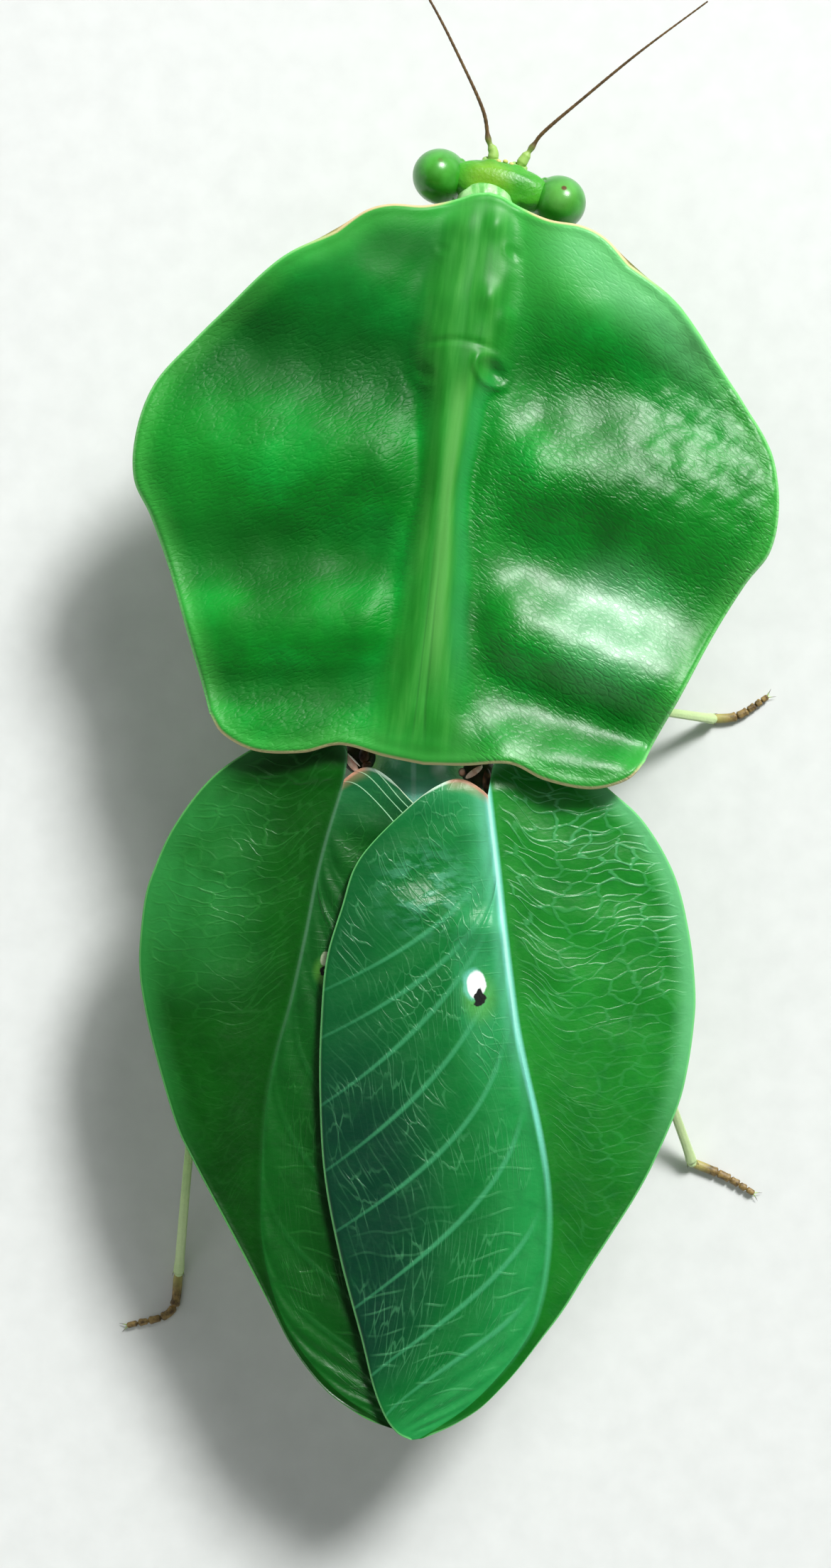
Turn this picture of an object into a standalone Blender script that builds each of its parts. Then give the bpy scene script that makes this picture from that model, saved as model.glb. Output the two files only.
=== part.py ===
# A Peruvian shield mantis, adult female, standing at rest, life size.
# Sizes are written in millimetres; the mesh helpers turn them into metres.
# +X is the animal's right, +Y its front, +Z up, and z = 0 is the floor.

import math

import bmesh
import bpy
from mathutils import Matrix
from mathutils import Vector

MM = 0.001
GAP = 0.3                    # left between two nodes that touch

# Where the whole animal stands: the middle of its outermost points.
STAND_CENTRE = (1.65, 4.25)

# The front of the body leans to the right of the wings' axis.
FRONT_PLACE = (0.27, 0.0, 0.0)
FRONT_TURN = -6.5
HEAD_PLACE = (4.40, 31.46, 10.0)
HEAD_TURN = -12.7

# The shield, in its own frame: x across, y forward from its rear middle.
SHIELD_THICK = 0.6
SHIELD_LEVEL = 12.7
SHIELD_DOME = 0.004
SHIELD_DROOP = 0.003
SHIELD_DROOP_START = 20.0
SWELL_HEIGHT = 0.5
SWELL_LENGTH = 9.6
SWELL_CREST = 10.4
SHIELD_REAR = [(0.0, -0.1), (2.2, 0.1), (4.6, 0.45), (6.6, -0.2), (9.1, -0.4), (11.0, 0.3), (11.9, 1.4)]
SHIELD_SIDE = [
    (11.9, 1.4), (13.25, 4.75), (14.8, 8.45), (16.3, 11.6), (17.45, 13.6), (17.6, 16.2),
    (16.9, 19.0), (15.2, 21.4), (13.6, 23.3), (10.8, 26.3), (8.0, 28.05),
]
SHIELD_FRONT = [
    (0.0, 31.9), (1.05, 31.4), (1.7, 30.75), (3.4, 30.0), (5.2, 29.85), (6.6, 29.3), (8.0, 28.05),
]
# The keel's half width and rise at a few places along the shield.
KEEL = [
    (0.0, 2.2, 0.45), (3.0, 1.8, 0.7), (9.0, 1.6, 0.75), (16.5, 0.9, 0.75), (20.0, 1.5, 0.75),
    (22.8, 2.3, 0.95), (26.0, 2.1, 0.8), (30.0, 1.6, 0.5), (32.0, 1.4, 0.3),
]
SHIELD_COLUMNS = [0.0, 0.035, 0.07, 0.11, 0.16, 0.23, 0.32, 0.42, 0.53, 0.64, 0.76, 0.88, 1.0]
SHIELD_ROWS = 28

# The forewings: the height of their common surface and what parts them where they overlap.
WING_THICK = 0.5
WING_LEVEL = 11.6
WING_ARCH = 0.008
WING_FALL = 1.2
WING_LENGTH = 37.0
WING_PART = 0.54
WING_PART_START = -0.4
WING_PART_FULL = -1.6
WING_ROOT = (3.2, -0.9)
WING_ROOT_LOW = 10.5
WING_ROOT_FLAT = 0.9
WING_ROOT_REACH = 2.7
WING_PART_EDGES = (8.0, 12.0)
VEIN_HALF_WIDTH = 0.45

# Margins and main vein of each forewing, x outward from the middle line.
RIGHT_INNER = [
    (1.5, -0.85), (0.85, -1.3), (-0.35, -2.2), (-2.4, -4.15), (-4.0, -6.85), (-5.25, -11.4),
    (-5.5, -18.5), (-5.0, -24.1), (-3.2, -31.0), (-1.9, -35.9), (-0.9, -36.7),
]
RIGHT_VEIN = [
    (3.2, -0.9), (4.1, -4.0), (4.65, -8.9), (5.35, -13.6), (6.1, -18.0), (7.0, -23.0),
    (6.9, -27.5), (5.5, -31.7), (2.9, -35.0), (-0.05, -36.9),
]
RIGHT_OUTER = [
    (4.1, -0.75), (4.9, 0.3), (6.5, 0.95), (8.4, 0.55), (10.2, -1.25), (12.3, -3.2), (14.0, -6.1),
    (15.0, -9.6), (15.3, -13.2), (14.7, -17.9), (12.2, -25.0), (7.1, -32.3), (1.9, -36.5), (0.7, -36.9),
]
LEFT_INNER = [
    (2.6, -0.4), (1.7, -1.05), (0.35, -2.2), (-1.6, -4.0), (-3.6, -6.9), (-4.9, -11.4),
    (-5.2, -18.5), (-4.7, -24.5), (-3.0, -30.8), (-1.5, -35.0), (-0.5, -36.2),
]
LEFT_VEIN = [
    (3.7, -0.5), (4.75, -3.8), (5.9, -9.3), (7.2, -14.2), (8.1, -18.0), (8.2, -23.5),
    (7.2, -28.5), (5.2, -32.3), (2.6, -35.0), (0.3, -36.4),
]
LEFT_OUTER = [
    (4.5, -0.4), (5.0, 0.7), (6.6, 1.5), (8.6, 1.05), (11.3, -0.75), (13.6, -3.7), (14.9, -6.7),
    (15.2, -10.5), (14.5, -15.2), (13.0, -19.9), (10.9, -24.2), (6.6, -31.85), (1.9, -36.0), (0.9, -36.4),
]
# Each row: where it leaves the main vein, where it meets the inner margin, and its share
# of the outer margin. The rows named branches carry a vein.
BASE_ROWS = [(-0.9, -1.0, 0.0), (-2.2, -3.6, 0.05), (-3.5, -7.6, 0.105)]
BRANCHES = [
    (-4.8, -12.0, 0.16), (-6.2, -15.3, 0.22), (-7.8, -19.0, 0.275), (-9.8, -22.3, 0.335),
    (-12.6, -25.4, 0.41), (-16.0, -28.8, 0.50), (-21.5, -32.3, 0.635), (-27.5, -34.9, 0.78),
]
TIP_ROWS = [(-30.5, -35.7, 0.855), (-33.2, -36.15, 0.92), (-35.4, -36.45, 0.965), (-36.9, -36.7, 1.0)]
BRANCH_HALF_ROW = (-0.22, -0.36, 0.0045)
INNER_COLUMNS = [1.0, 0.84, 0.68, 0.52, 0.36, 0.2, 0.0]
OUTER_COLUMNS = [0.0, 0.12, 0.28, 0.46, 0.64, 0.83, 1.0]
BRANCH_BEND = 1.8
BRANCH_RISE = 0.22
MAIN_VEIN_RISE = 0.35
MAIN_VEIN_TIP_RISE = 0.12

# The hindwings lie folded under the forewings, one each side of the middle line.
HINDWING_THICK = 0.6
HINDWING_EDGE = [
    (3.3, -4.2), (5.2, -6.5), (6.7, -12.0), (7.0, -19.0), (6.2, -25.5), (3.6, -31.0), (1.2, -32.6),
]
HINDWING_INSIDE = 0.25
HINDWING_ROWS = 12
HINDWING_PLEATS = 4
HINDWING_PLEAT_DEPTH = 0.2

# Trunk sections: place along the body, half width, underside, top.
THORAX = [
    (0.7, 1.6, 7.2, 10.2), (0.4, 2.5, 6.2, 10.55), (-0.5, 3.6, 5.2, 10.7), (-1.6, 4.0, 4.8, 10.55),
    (-2.6, 3.9, 4.7, 10.15), (-4.2, 3.8, 4.6, 9.65), (-7.2, 3.8, 4.5, 9.6), (-9.4, 3.7, 4.5, 9.5),
    (-10.3, 3.2, 4.9, 9.1),
]
THORAX_SQUARE = 0.6
ABDOMEN_START = -10.6
ABDOMEN_END = -32.2
ABDOMEN_SEGMENTS = 8
ABDOMEN = [
    (-10.6, 3.4, 5.0, 9.1), (-12.6, 5.0, 4.0, 9.25), (-16.5, 6.4, 3.5, 9.2), (-20.5, 6.8, 3.3, 9.1),
    (-24.5, 6.3, 3.5, 8.9), (-28.0, 4.9, 4.2, 8.6), (-30.6, 3.2, 5.0, 8.2), (-32.2, 1.8, 5.8, 7.7),
]
ABDOMEN_STEP = 0.18
# The underside of the front body, in the shield's frame.
PROTHORAX = [
    (1.2, 1.7, 9.3, 11.8), (2.0, 2.1, 8.9, 12.1), (8.0, 1.5, 9.4, 12.15), (15.0, 1.2, 9.5, 12.15),
    (19.5, 1.8, 9.1, 12.1), (22.8, 2.5, 8.7, 12.1), (26.5, 2.0, 9.0, 12.0), (29.2, 1.45, 9.4, 11.8),
]
NECK = [(29.5, 1.15, 9.2, 11.2), (29.9, 1.05, 9.2, 11.1), (30.25, 1.0, 9.2, 11.0)]

# Head, in its own frame: height from the eyes' middle, half width, back, front.
HEAD = [
    (1.55, 1.5, -0.45, 0.7), (1.4, 2.3, -0.8, 1.1), (0.9, 2.75, -1.05, 1.35), (0.0, 2.8, -1.1, 1.5),
    (-0.9, 2.55, -1.05, 1.5), (-1.8, 2.05, -0.95, 1.35), (-2.8, 1.45, -0.85, 1.1), (-3.6, 1.05, -0.75, 0.85),
    (-4.0, 0.85, -0.65, 0.7),
]
EYE_OUT = 3.3
EYE_RADII = (1.42, 1.5, 2.0)
EYE_LEAN = 14.0
EYE_SOCKET = 0.3
# Jaws behind, upper lip in front; the gap between the two is the line of the mouth.
JAWS = [(-4.3, 0.75, -0.75, -0.05), (-4.8, 0.7, -0.7, -0.1), (-5.3, 0.45, -0.6, -0.15)]
LIP = [(-4.3, 0.7, 0.25, 0.75), (-4.75, 0.68, 0.15, 0.68), (-5.2, 0.35, 0.1, 0.5)]

# Feelers: their route from the face to the tip, in the whole animal's frame.
ANTENNA_RADIUS = 0.26
ANTENNA_TIP = 0.14
SCAPE_RADIUS = 0.4
ANTENNA_RIGHT = [
    (5.75, 33.1, 10.1), (6.3, 33.9, 10.3), (6.9, 34.6, 10.6), (8.9, 36.2, 11.3), (11.9, 38.5, 12.4),
    (15.6, 41.1, 13.4),
]
ANTENNA_LEFT = [
    (4.1, 33.5, 10.1), (3.8, 34.2, 10.3), (3.5, 35.7, 10.8), (2.3, 38.2, 11.6), (0.6, 41.3, 12.6),
    (-2.0, 45.2, 13.6),
]

# Foreleg, in the shield's frame, right side.
FORE_HIP = (1.4, 21.6, 9.4)
FORE_ELBOW = (6.4, 28.4, 5.4)
FORE_KNEE = (9.8, 15.4, 4.6)
FORE_SHIN = [(9.7, 14.5, 3.7), (8.1, 15.7, 2.5), (6.2, 18.0, 1.9), (4.9, 20.8, 1.9)]
FORE_TOE = (5.4, 26.2, 1.2)
# Rows of spines: share of the limb where a row starts and ends, how many, their length at
# both ends of the row, and how far the row stands to the side of the limb's lower edge.
FEMUR_SPINES = [
    (0.16, 0.88, 10, 1.25, 0.5, -0.55), (0.26, 0.8, 4, 1.5, 0.7, 0.55), (0.24, 0.36, 2, 1.3, 1.1, 0.0),
]
TIBIA_SPINES = [(0.2, 0.85, 8, 0.45, 0.95, -0.5), (0.3, 0.88, 7, 0.5, 1.0, 0.5)]
SPINE_RADIUS = 0.24
SPINE_TIP = 0.04
SPINE_SINK = 0.35
SPINE_SLANT = 0.35
SHIN_HOOK = (2.0, 0.3)
CLAW = (0.8, 0.14, 0.55)

# Walking legs: joints in the whole animal's frame, and the toes lie on the floor.
MID_HIP = (2.3, -3.4, 6.2)
MID_SOCKET = (4.0, -4.0, 4.1)
MID_RIGHT_KNEE = (9.7, 3.4, 8.2)
MID_RIGHT_FOOT = [(16.9, 2.6), (18.4, 2.8), (20.1, 3.9)]
MID_LEFT_KNEE = (8.6, 4.2, 8.2)
MID_LEFT_FOOT = [(12.6, 10.4), (13.4, 12.0), (14.0, 14.2)]
HIND_HIP = (2.3, -7.4, 6.2)
HIND_SOCKET = (4.0, -9.0, 4.1)
HIND_RIGHT_KNEE = (13.6, -8.6, 8.3)
HIND_RIGHT_BOW = (13.6, -16.4, 4.6)
HIND_RIGHT_FOOT = [(15.7, -22.9), (17.6, -23.7), (19.3, -24.7)]
HIND_LEFT_KNEE = (12.0, -14.9, 8.2)
HIND_LEFT_BOW = (13.0, -22.6, 4.9)
HIND_LEFT_FOOT = [(13.8, -29.2), (14.3, -31.5), (16.8, -32.3)]
ANKLE_HEIGHT = 0.62
COXA_RADII = [0.9, 1.1, 1.0, 0.8, 0.55]
FEMUR_RADII = [0.36, 0.62, 0.6, 0.5, 0.42, 0.4]
TIBIA_RADII = [0.36, 0.34, 0.3, 0.29, 0.29, 0.31]
TARSUS_RADIUS = 0.29
TARSUS_HEIGHT = 0.25
TARSUS_PARTS = 5
TARSUS_PULL = 0.42
FORE_PULLS = [(0.0, 0.9), (1.3, 0.15), (0.55, 0.0)]     # at both ends of coxa, femur, tarsus
MID_PULLS = [(0.0, 0.5), (0.92, 0.35), (0.75, 0.0)]     # of coxa, femur, tibia
HIND_PULLS = [(0.0, 0.5), (0.62, 0.35), (0.75, 0.0)]

GREEN = (0.02, 0.26, 0.03)
DEEP_GREEN = (0.012, 0.16, 0.05)
PALE_GREEN = (0.16, 0.42, 0.08)
LEG_GREEN = (0.20, 0.40, 0.10)
TAN = (0.26, 0.17, 0.07)
BROWN = (0.10, 0.07, 0.03)
EYE_GREEN = (0.14, 0.36, 0.10)
MEMBRANE = (0.25, 0.40, 0.30)


# General helpers


def clear_scene():
    for item in list(bpy.data.objects):
        bpy.data.objects.remove(item, do_unlink=True)


def make_collection(name):
    collection = bpy.data.collections.new(name)
    bpy.context.scene.collection.children.link(collection)
    return collection


def make_material(name, colour, roughness):
    material = bpy.data.materials.new(name)
    material.use_nodes = True
    shader = material.node_tree.nodes["Principled BSDF"]
    shader.inputs["Base Color"].default_value = (*colour, 1.0)
    shader.inputs["Roughness"].default_value = roughness
    shader.inputs["Metallic"].default_value = 0.0
    return material


def smoothstep(low, high, value):
    share = min(1.0, max(0.0, (value - low) / (high - low)))
    return share * share * (3.0 - 2.0 * share)


def smooth_curve(points, per_span=12):
    """Points on a Catmull-Rom curve through the given ones."""
    vectors = [Vector(point) for point in points]
    first = vectors[0] * 2.0 - vectors[1]
    last = vectors[-1] * 2.0 - vectors[-2]
    padded = [first] + vectors + [last]
    result = [vectors[0].copy()]
    for index in range(1, len(padded) - 2):
        a, b, c, d = padded[index - 1:index + 3]
        for step in range(1, per_span + 1):
            t = step / per_span
            bend = (a * 2.0 - b * 5.0 + c * 4.0 - d) * t * t
            twist = (b * 3.0 - a - c * 3.0 + d) * t * t * t
            result.append((b * 2.0 + (c - a) * t + bend + twist) * 0.5)
    return result


def at_share(curve, share):
    """The point at a share of the curve's length."""
    lengths = [0.0]
    for a, b in zip(curve, curve[1:]):
        lengths.append(lengths[-1] + (b - a).length)
    target = share * lengths[-1]
    for index in range(1, len(curve)):
        if lengths[index] >= target:
            span = lengths[index] - lengths[index - 1]
            part = (target - lengths[index - 1]) / span if span else 0.0
            return curve[index - 1].lerp(curve[index], part)
    return curve[-1].copy()


def x_at(curve, y):
    """The x of a curve that runs backward, where it passes y."""
    for a, b in zip(curve, curve[1:]):
        if a.y >= y >= b.y and a.y > b.y:
            return a.x + (b.x - a.x) * (a.y - y) / (a.y - b.y)
    return curve[-1].x if y < curve[-1].y else curve[0].x


def along(table, place):
    """Smoothly read the values of a table of (place, value, ...) rows."""
    if place <= table[0][0]:
        return table[0][1:]
    for low, high in zip(table, table[1:]):
        if place <= high[0]:
            share = (place - low[0]) / (high[0] - low[0])
            share = share * share * (3.0 - 2.0 * share)
            return [a + (b - a) * share for a, b in zip(low[1:], high[1:])]
    return table[-1][1:]


def finish_mesh(bm, name):
    bmesh.ops.recalc_face_normals(bm, faces=bm.faces)
    mesh = bpy.data.meshes.new(name)
    bm.to_mesh(mesh)
    bm.free()
    mesh.shade_smooth()
    mesh.set_sharp_from_angle(angle=math.radians(50.0))
    return mesh


def add_object(name, data, material, parent):
    item = bpy.data.objects.new(name, data)
    item.data.materials.append(material)
    item.parent = parent
    model.objects.link(item)
    return item


def add_empty(name, place, turn, parent=None):
    item = bpy.data.objects.new(name, None)
    item.location = Vector(place) * MM
    item.rotation_euler.z = math.radians(turn)
    item.parent = parent
    model.objects.link(item)
    return item


def hide_cutter(item):
    item.hide_render = True
    item.display_type = "WIRE"
    model.objects.unlink(item)
    cutters.objects.link(item)


def cut(item, cutter):
    modifier = item.modifiers.new("Cut by " + cutter.name, "BOOLEAN")
    modifier.operation = "DIFFERENCE"
    modifier.object = cutter


def applied(item):
    """Replace an object's mesh by the one its modifiers make."""
    bpy.context.view_layer.update()
    evaluated = item.evaluated_get(bpy.context.evaluated_depsgraph_get())
    mesh = bpy.data.meshes.new_from_object(evaluated)
    item.modifiers.clear()
    item.data = mesh


def keep_largest(mesh):
    """Drop every closed surface but the one with the most faces."""
    bm = bmesh.new()
    bm.from_mesh(mesh)
    waiting = set(bm.faces)
    pieces = []
    while waiting:
        piece = {waiting.pop()}
        edge_of_piece = list(piece)
        while edge_of_piece:
            face = edge_of_piece.pop()
            for edge in face.edges:
                for other in edge.link_faces:
                    if other in waiting:
                        waiting.remove(other)
                        piece.add(other)
                        edge_of_piece.append(other)
        pieces.append(piece)
    pieces.sort(key=len)
    loose = [face for piece in pieces[:-1] for face in piece]
    bmesh.ops.delete(bm, geom=loose, context="FACES")
    bm.to_mesh(mesh)
    bm.free()


def fuse_spikes(item, spikes, sides=5):
    """Join tapered spikes to a body: each is (root, direction, length, radius)."""
    bpy.context.view_layer.update()
    spiked = bpy.data.collections.new(item.name + "_spikes")
    bpy.context.scene.collection.children.link(spiked)
    for root, ahead, length, radius in spikes:
        ahead = ahead.normalized()
        bm = bmesh.new()
        whole_length = length + SPINE_SINK
        bmesh.ops.create_cone(bm, cap_ends=True, segments=sides, radius1=radius * MM,
                              radius2=SPINE_TIP * MM, depth=whole_length * MM)
        spike = bpy.data.objects.new("spike", finish_mesh(bm, "spike"))
        turn = Vector((0.0, 0.0, 1.0)).rotation_difference(ahead)
        middle = (root + ahead * (length - SPINE_SINK) / 2) * MM
        spike.matrix_world = Matrix.LocRotScale(middle, turn, None)
        spike.matrix_world = item.parent.matrix_world @ spike.matrix_world
        spiked.objects.link(spike)
    modifier = item.modifiers.new("Fuse spikes", "BOOLEAN")
    modifier.operation = "UNION"
    modifier.operand_type = "COLLECTION"
    modifier.collection = spiked
    modifier.solver = "MANIFOLD"
    applied(item)
    keep_largest(item.data)
    for spike in list(spiked.objects):
        bpy.data.objects.remove(spike, do_unlink=True)
    bpy.data.collections.remove(spiked)


# Shapes


def loft(name, rings, material, parent):
    """A closed body over rings of like counts, with a flat cap at each end."""
    bm = bmesh.new()
    loops = []
    for ring in rings:
        loops.append([bm.verts.new(Vector(point) * MM) for point in ring])
    for loop, following in zip(loops, loops[1:]):
        for index in range(len(loop)):
            after = (index + 1) % len(loop)
            bm.faces.new((loop[index], loop[after], following[after], following[index]))
    bm.faces.new(loops[0])
    bm.faces.new(loops[-1])
    return add_object(name, finish_mesh(bm, name), material, parent)


def squared(value, power):
    return math.copysign(abs(value) ** power, value)


def trunk_rings(sections, sides, spread=0.0, power=1.0):
    """Upright oval rings, one for each (place, half width, underside, top); a power
    under one squares them off."""
    rings = []
    for place, half_width, low, high in sections:
        middle = (low + high) / 2
        half_height = (high - low) / 2 + spread
        ring = []
        for index in range(sides):
            angle = 2.0 * math.pi * (index + 0.5) / sides
            x = (half_width + spread) * squared(math.cos(angle), power)
            ring.append((x, place, middle + half_height * squared(math.sin(angle), power)))
        rings.append(ring)
    return rings


def level_rings(sections, sides):
    """Level oval rings, one for each (height, half width, back, front)."""
    rings = []
    for height, half_width, back, front in sections:
        middle = (back + front) / 2
        ring = []
        for index in range(sides):
            angle = 2.0 * math.pi * (index + 0.5) / sides
            y = middle + (front - back) / 2 * math.sin(angle)
            ring.append((half_width * math.cos(angle), y, height))
        rings.append(ring)
    return rings


def limb_rings(path, widths, depths, sides, upright=(0.0, 0.0, 1.0)):
    """Oval rings square to a path; the depth lies nearest the upright direction."""
    rings = []
    for index, point in enumerate(path):
        before = path[max(index - 1, 0)]
        after = path[min(index + 1, len(path) - 1)]
        ahead = (after - before).normalized()
        across = ahead.cross(Vector(upright)).normalized()
        deep = across.cross(ahead)
        ring = []
        for step in range(sides):
            angle = 2.0 * math.pi * (step + 0.5) / sides
            offset = across * widths[index] * math.cos(angle) + deep * depths[index] * math.sin(angle)
            ring.append(point + offset)
        rings.append(ring)
    return rings


def tube(name, path, radii, material, parent):
    """A round limb: a curve whose points carry their own radius."""
    curve = bpy.data.curves.new(name, "CURVE")
    curve.dimensions = "3D"
    curve.bevel_depth = MM
    curve.bevel_resolution = 2
    curve.use_fill_caps = True
    spline = curve.splines.new("POLY")
    spline.points.add(len(path) - 1)
    for point, place, radius in zip(spline.points, path, radii):
        point.co = (*(Vector(place) * MM), 1.0)
        point.radius = radius
    spline.use_smooth = True
    return add_object(name, curve, material, parent)


def plate(name, columns, rows, place, low, high, material, parent):
    """A thin plate: a grid laid flat, thickened, then lifted to its two surfaces."""
    bm = bmesh.new()
    bmesh.ops.create_grid(bm, x_segments=columns, y_segments=rows, size=0.5)
    spot = bm.verts.layers.int.new("spot")
    for vertex in bm.verts:
        column = round((vertex.co.x + 0.5) * columns)
        row = round((vertex.co.y + 0.5) * rows)
        vertex[spot] = column * 1000 + row
        vertex.co = Vector((*place(column, row), 0.0)) * MM
    bmesh.ops.triangulate(bm, faces=bm.faces, quad_method="FIXED")
    sheet = set(bm.verts)
    bmesh.ops.extrude_face_region(bm, geom=bm.faces)
    for vertex in bm.verts:
        column, row = divmod(vertex[spot], 1000)
        surface = low if vertex in sheet else high
        vertex.co.z = surface(vertex.co.x / MM, vertex.co.y / MM, column, row) * MM
    return add_object(name, finish_mesh(bm, name), material, parent)


# Front of the body


def shield_place(column, row):
    """A patch between the middle line, the side, the rear and the front edge."""
    side = -1.0 if column < len(SHIELD_COLUMNS) - 1 else 1.0
    share = SHIELD_COLUMNS[abs(column - len(SHIELD_COLUMNS) + 1)]
    t = row / SHIELD_ROWS
    rear = at_share(shield_curves["rear"], share)
    front = at_share(shield_curves["front"], share)
    edge = at_share(shield_curves["side"], t)
    rear_middle = shield_curves["rear"][0]
    front_middle = shield_curves["front"][0]
    middle = rear_middle.lerp(front_middle, t)
    corners = (rear_middle.lerp(shield_curves["rear"][-1], share)).lerp(
        front_middle.lerp(shield_curves["front"][-1], share), t)
    spot = middle.lerp(edge, share) + rear.lerp(front, t) - corners
    return side * spot.x, spot.y


def shield_level(x, y):
    """The shield without its keel: a low dome with broad swells across each lobe."""
    droop = SHIELD_DROOP * max(0.0, y - SHIELD_DROOP_START) ** 2
    reach = smoothstep(1.8, 6.0, abs(x)) * (1.0 - 0.4 * smoothstep(10.0, 17.0, abs(x)))
    swell = SWELL_HEIGHT * math.cos(2.0 * math.pi * (y - SWELL_CREST) / SWELL_LENGTH)
    return SHIELD_LEVEL - SHIELD_DOME * x * x - droop + swell * reach


def shield_top(x, y, column=0, row=0):
    half_width, rise = along(KEEL, y)
    keel = rise * (1.0 - smoothstep(0.6, 1.4, abs(x) / half_width))
    return shield_level(x, y) + keel


def shield_under(x, y, column=0, row=0):
    return shield_top(x, y) - SHIELD_THICK


def build_shield():
    material = make_material("Shield green", GREEN, 0.35)
    columns = 2 * (len(SHIELD_COLUMNS) - 1)
    plate("shield", columns, SHIELD_ROWS, shield_place, shield_under, shield_top, material, front_body)


def build_front_trunk():
    skin = make_material("Underside green", PALE_GREEN, 0.5)
    loft("prothorax", trunk_rings(PROTHORAX, 14), skin, front_body)
    loft("neck", trunk_rings(NECK, 12), make_material("Neck green", PALE_GREEN, 0.55), front_body)
    clearance = loft("prothorax_clearance", trunk_rings(PROTHORAX, 14, GAP), skin, front_body)
    hide_cutter(clearance)
    return clearance


# Head


def eye_mesh(name, spread):
    bm = bmesh.new()
    bmesh.ops.create_uvsphere(bm, u_segments=16, v_segments=10, radius=1.0)
    radii = [(radius + spread) * MM for radius in EYE_RADII]
    bmesh.ops.scale(bm, vec=radii, verts=bm.verts)
    return finish_mesh(bm, name)


def build_head():
    skin = make_material("Head green", PALE_GREEN, 0.4)
    head = loft("head", level_rings(HEAD, 20), skin, head_frame)
    for side, word in ((-1, "left"), (1, "right")):
        glass = make_material("Eye green " + word, EYE_GREEN, 0.15)
        eye = add_object("eye_" + word, eye_mesh("eye_" + word, 0.0), glass, head_frame)
        socket = add_object("socket_" + word, eye_mesh("socket_" + word, EYE_SOCKET), glass, head_frame)
        for item in (eye, socket):
            item.location = (side * EYE_OUT * MM, 0.0, 0.0)
            item.rotation_euler.y = math.radians(side * EYE_LEAN)
        hide_cutter(socket)
        cut(head, socket)
    loft("mouthparts", level_rings(JAWS, 12), make_material("Jaw green", PALE_GREEN, 0.5), head_frame)
    loft("labrum", level_rings(LIP, 12), make_material("Lip green", PALE_GREEN, 0.5), head_frame)
    for side, word in ((-1, "left"), (1, "right")):
        route = [(1.1, -0.5, -4.4), (1.55, -0.2, -5.0), (1.4, 0.2, -5.8), (1.0, 0.5, -6.4)]
        path = smooth_curve([(side * x, y, z) for x, y, z in route], 3)
        radii = [0.25 - 0.008 * index for index in range(len(path))]
        tube("palp_" + word, path, radii, make_material("Palp green " + word, PALE_GREEN, 0.5), head_frame)


def build_antenna(word, route):
    path = smooth_curve(route, 4)
    last = len(path) - 1
    radii = []
    for index in range(len(path)):
        thin = ANTENNA_RADIUS + (ANTENNA_TIP - ANTENNA_RADIUS) * index / last
        scape = 1.0 - smoothstep(2.0, 4.0, index)
        radii.append(thin + (SCAPE_RADIUS - thin) * scape)
    skin = make_material("Antenna brown " + word, BROWN, 0.5)
    tube("antenna_" + word, path, radii, skin, whole)


# Wings


def wing_rows():
    """The rows of a forewing's grid, with a close pair beside each branch vein."""
    rows = [(*row, 0.0) for row in BASE_ROWS]
    for index, branch in enumerate(BRANCHES):
        following = (BRANCHES + TIP_ROWS)[index + 1]
        for way in (-1, 0, 1):
            beside = [value + way * step for value, step in zip(branch, BRANCH_HALF_ROW)]
            rows.append((*beside, 1.0 - abs(way)))
        between = 2 if following[0] - branch[0] < -4.0 else 1
        for step in range(1, between + 1):
            share = step / (between + 1)
            rows.append((*[a + (b - a) * share for a, b in zip(branch, following)], 0.0))
    rows.extend((*row, 0.0) for row in TIP_ROWS)
    return rows


def build_forewing(name, side, inner, vein, outer, material):
    curves = [smooth_curve(points) for points in (inner, vein, outer)]
    inner, vein, outer = curves
    rows = wing_rows()
    crest = len(INNER_COLUMNS)
    half = VEIN_HALF_WIDTH

    def place(column, row):
        vein_y, inner_y, share, _ = rows[row]
        width = half * min(1.0, 0.4 + (vein_y - vein[-1].y) * 0.12)
        if column < crest:
            t = INNER_COLUMNS[column]
            y = vein_y + (inner_y - vein_y) * t
            start = x_at(vein, y) - width
            x = start + (x_at(inner, inner_y) - start) * t ** BRANCH_BEND
        elif column == crest:
            x, y = x_at(vein, vein_y), vein_y
        else:
            t = OUTER_COLUMNS[column - crest - 1]
            start = Vector((x_at(vein, vein_y) + width, vein_y))
            x, y = start.lerp(at_share(outer, share), t)
        return side * x, y

    def ridge(column, row):
        if column == crest:
            share = rows[row][0] / rows[-1][0]
            return MAIN_VEIN_RISE + (MAIN_VEIN_TIP_RISE - MAIN_VEIN_RISE) * share
        if column < crest:
            return BRANCH_RISE * rows[row][3] * smoothstep(0.0, 0.2, INNER_COLUMNS[column])
        return 0.0

    def high(x, y, column, row):
        return wing_middle(x, y, side) + WING_THICK / 2 + ridge(column, row)

    def low(x, y, column, row):
        sheet = wing_middle(x, y, side) - WING_THICK / 2
        reach = math.hypot(abs(x) - WING_ROOT[0], y - WING_ROOT[1])
        root = 1.0 - smoothstep(WING_ROOT_FLAT, WING_ROOT_REACH, reach)
        pad = max(WING_ROOT_LOW, thorax_top(x, y) + GAP)
        return sheet + root * min(0.0, pad - sheet)

    columns = len(INNER_COLUMNS) + len(OUTER_COLUMNS)
    plate(name, columns, len(rows) - 1, place, low, high, material, whole)


def thorax_top(x, y):
    """The height of the thorax's upper surface, which the wing roots stand on."""
    backward = [(-place, *values) for place, *values in THORAX]
    half_width, low, high = along(backward, -y)
    aside = min(1.0, abs(x) / half_width) ** (2.0 / THORAX_SQUARE)
    return (low + high) / 2 + (high - low) / 2 * (1.0 - aside) ** (THORAX_SQUARE / 2)


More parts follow.
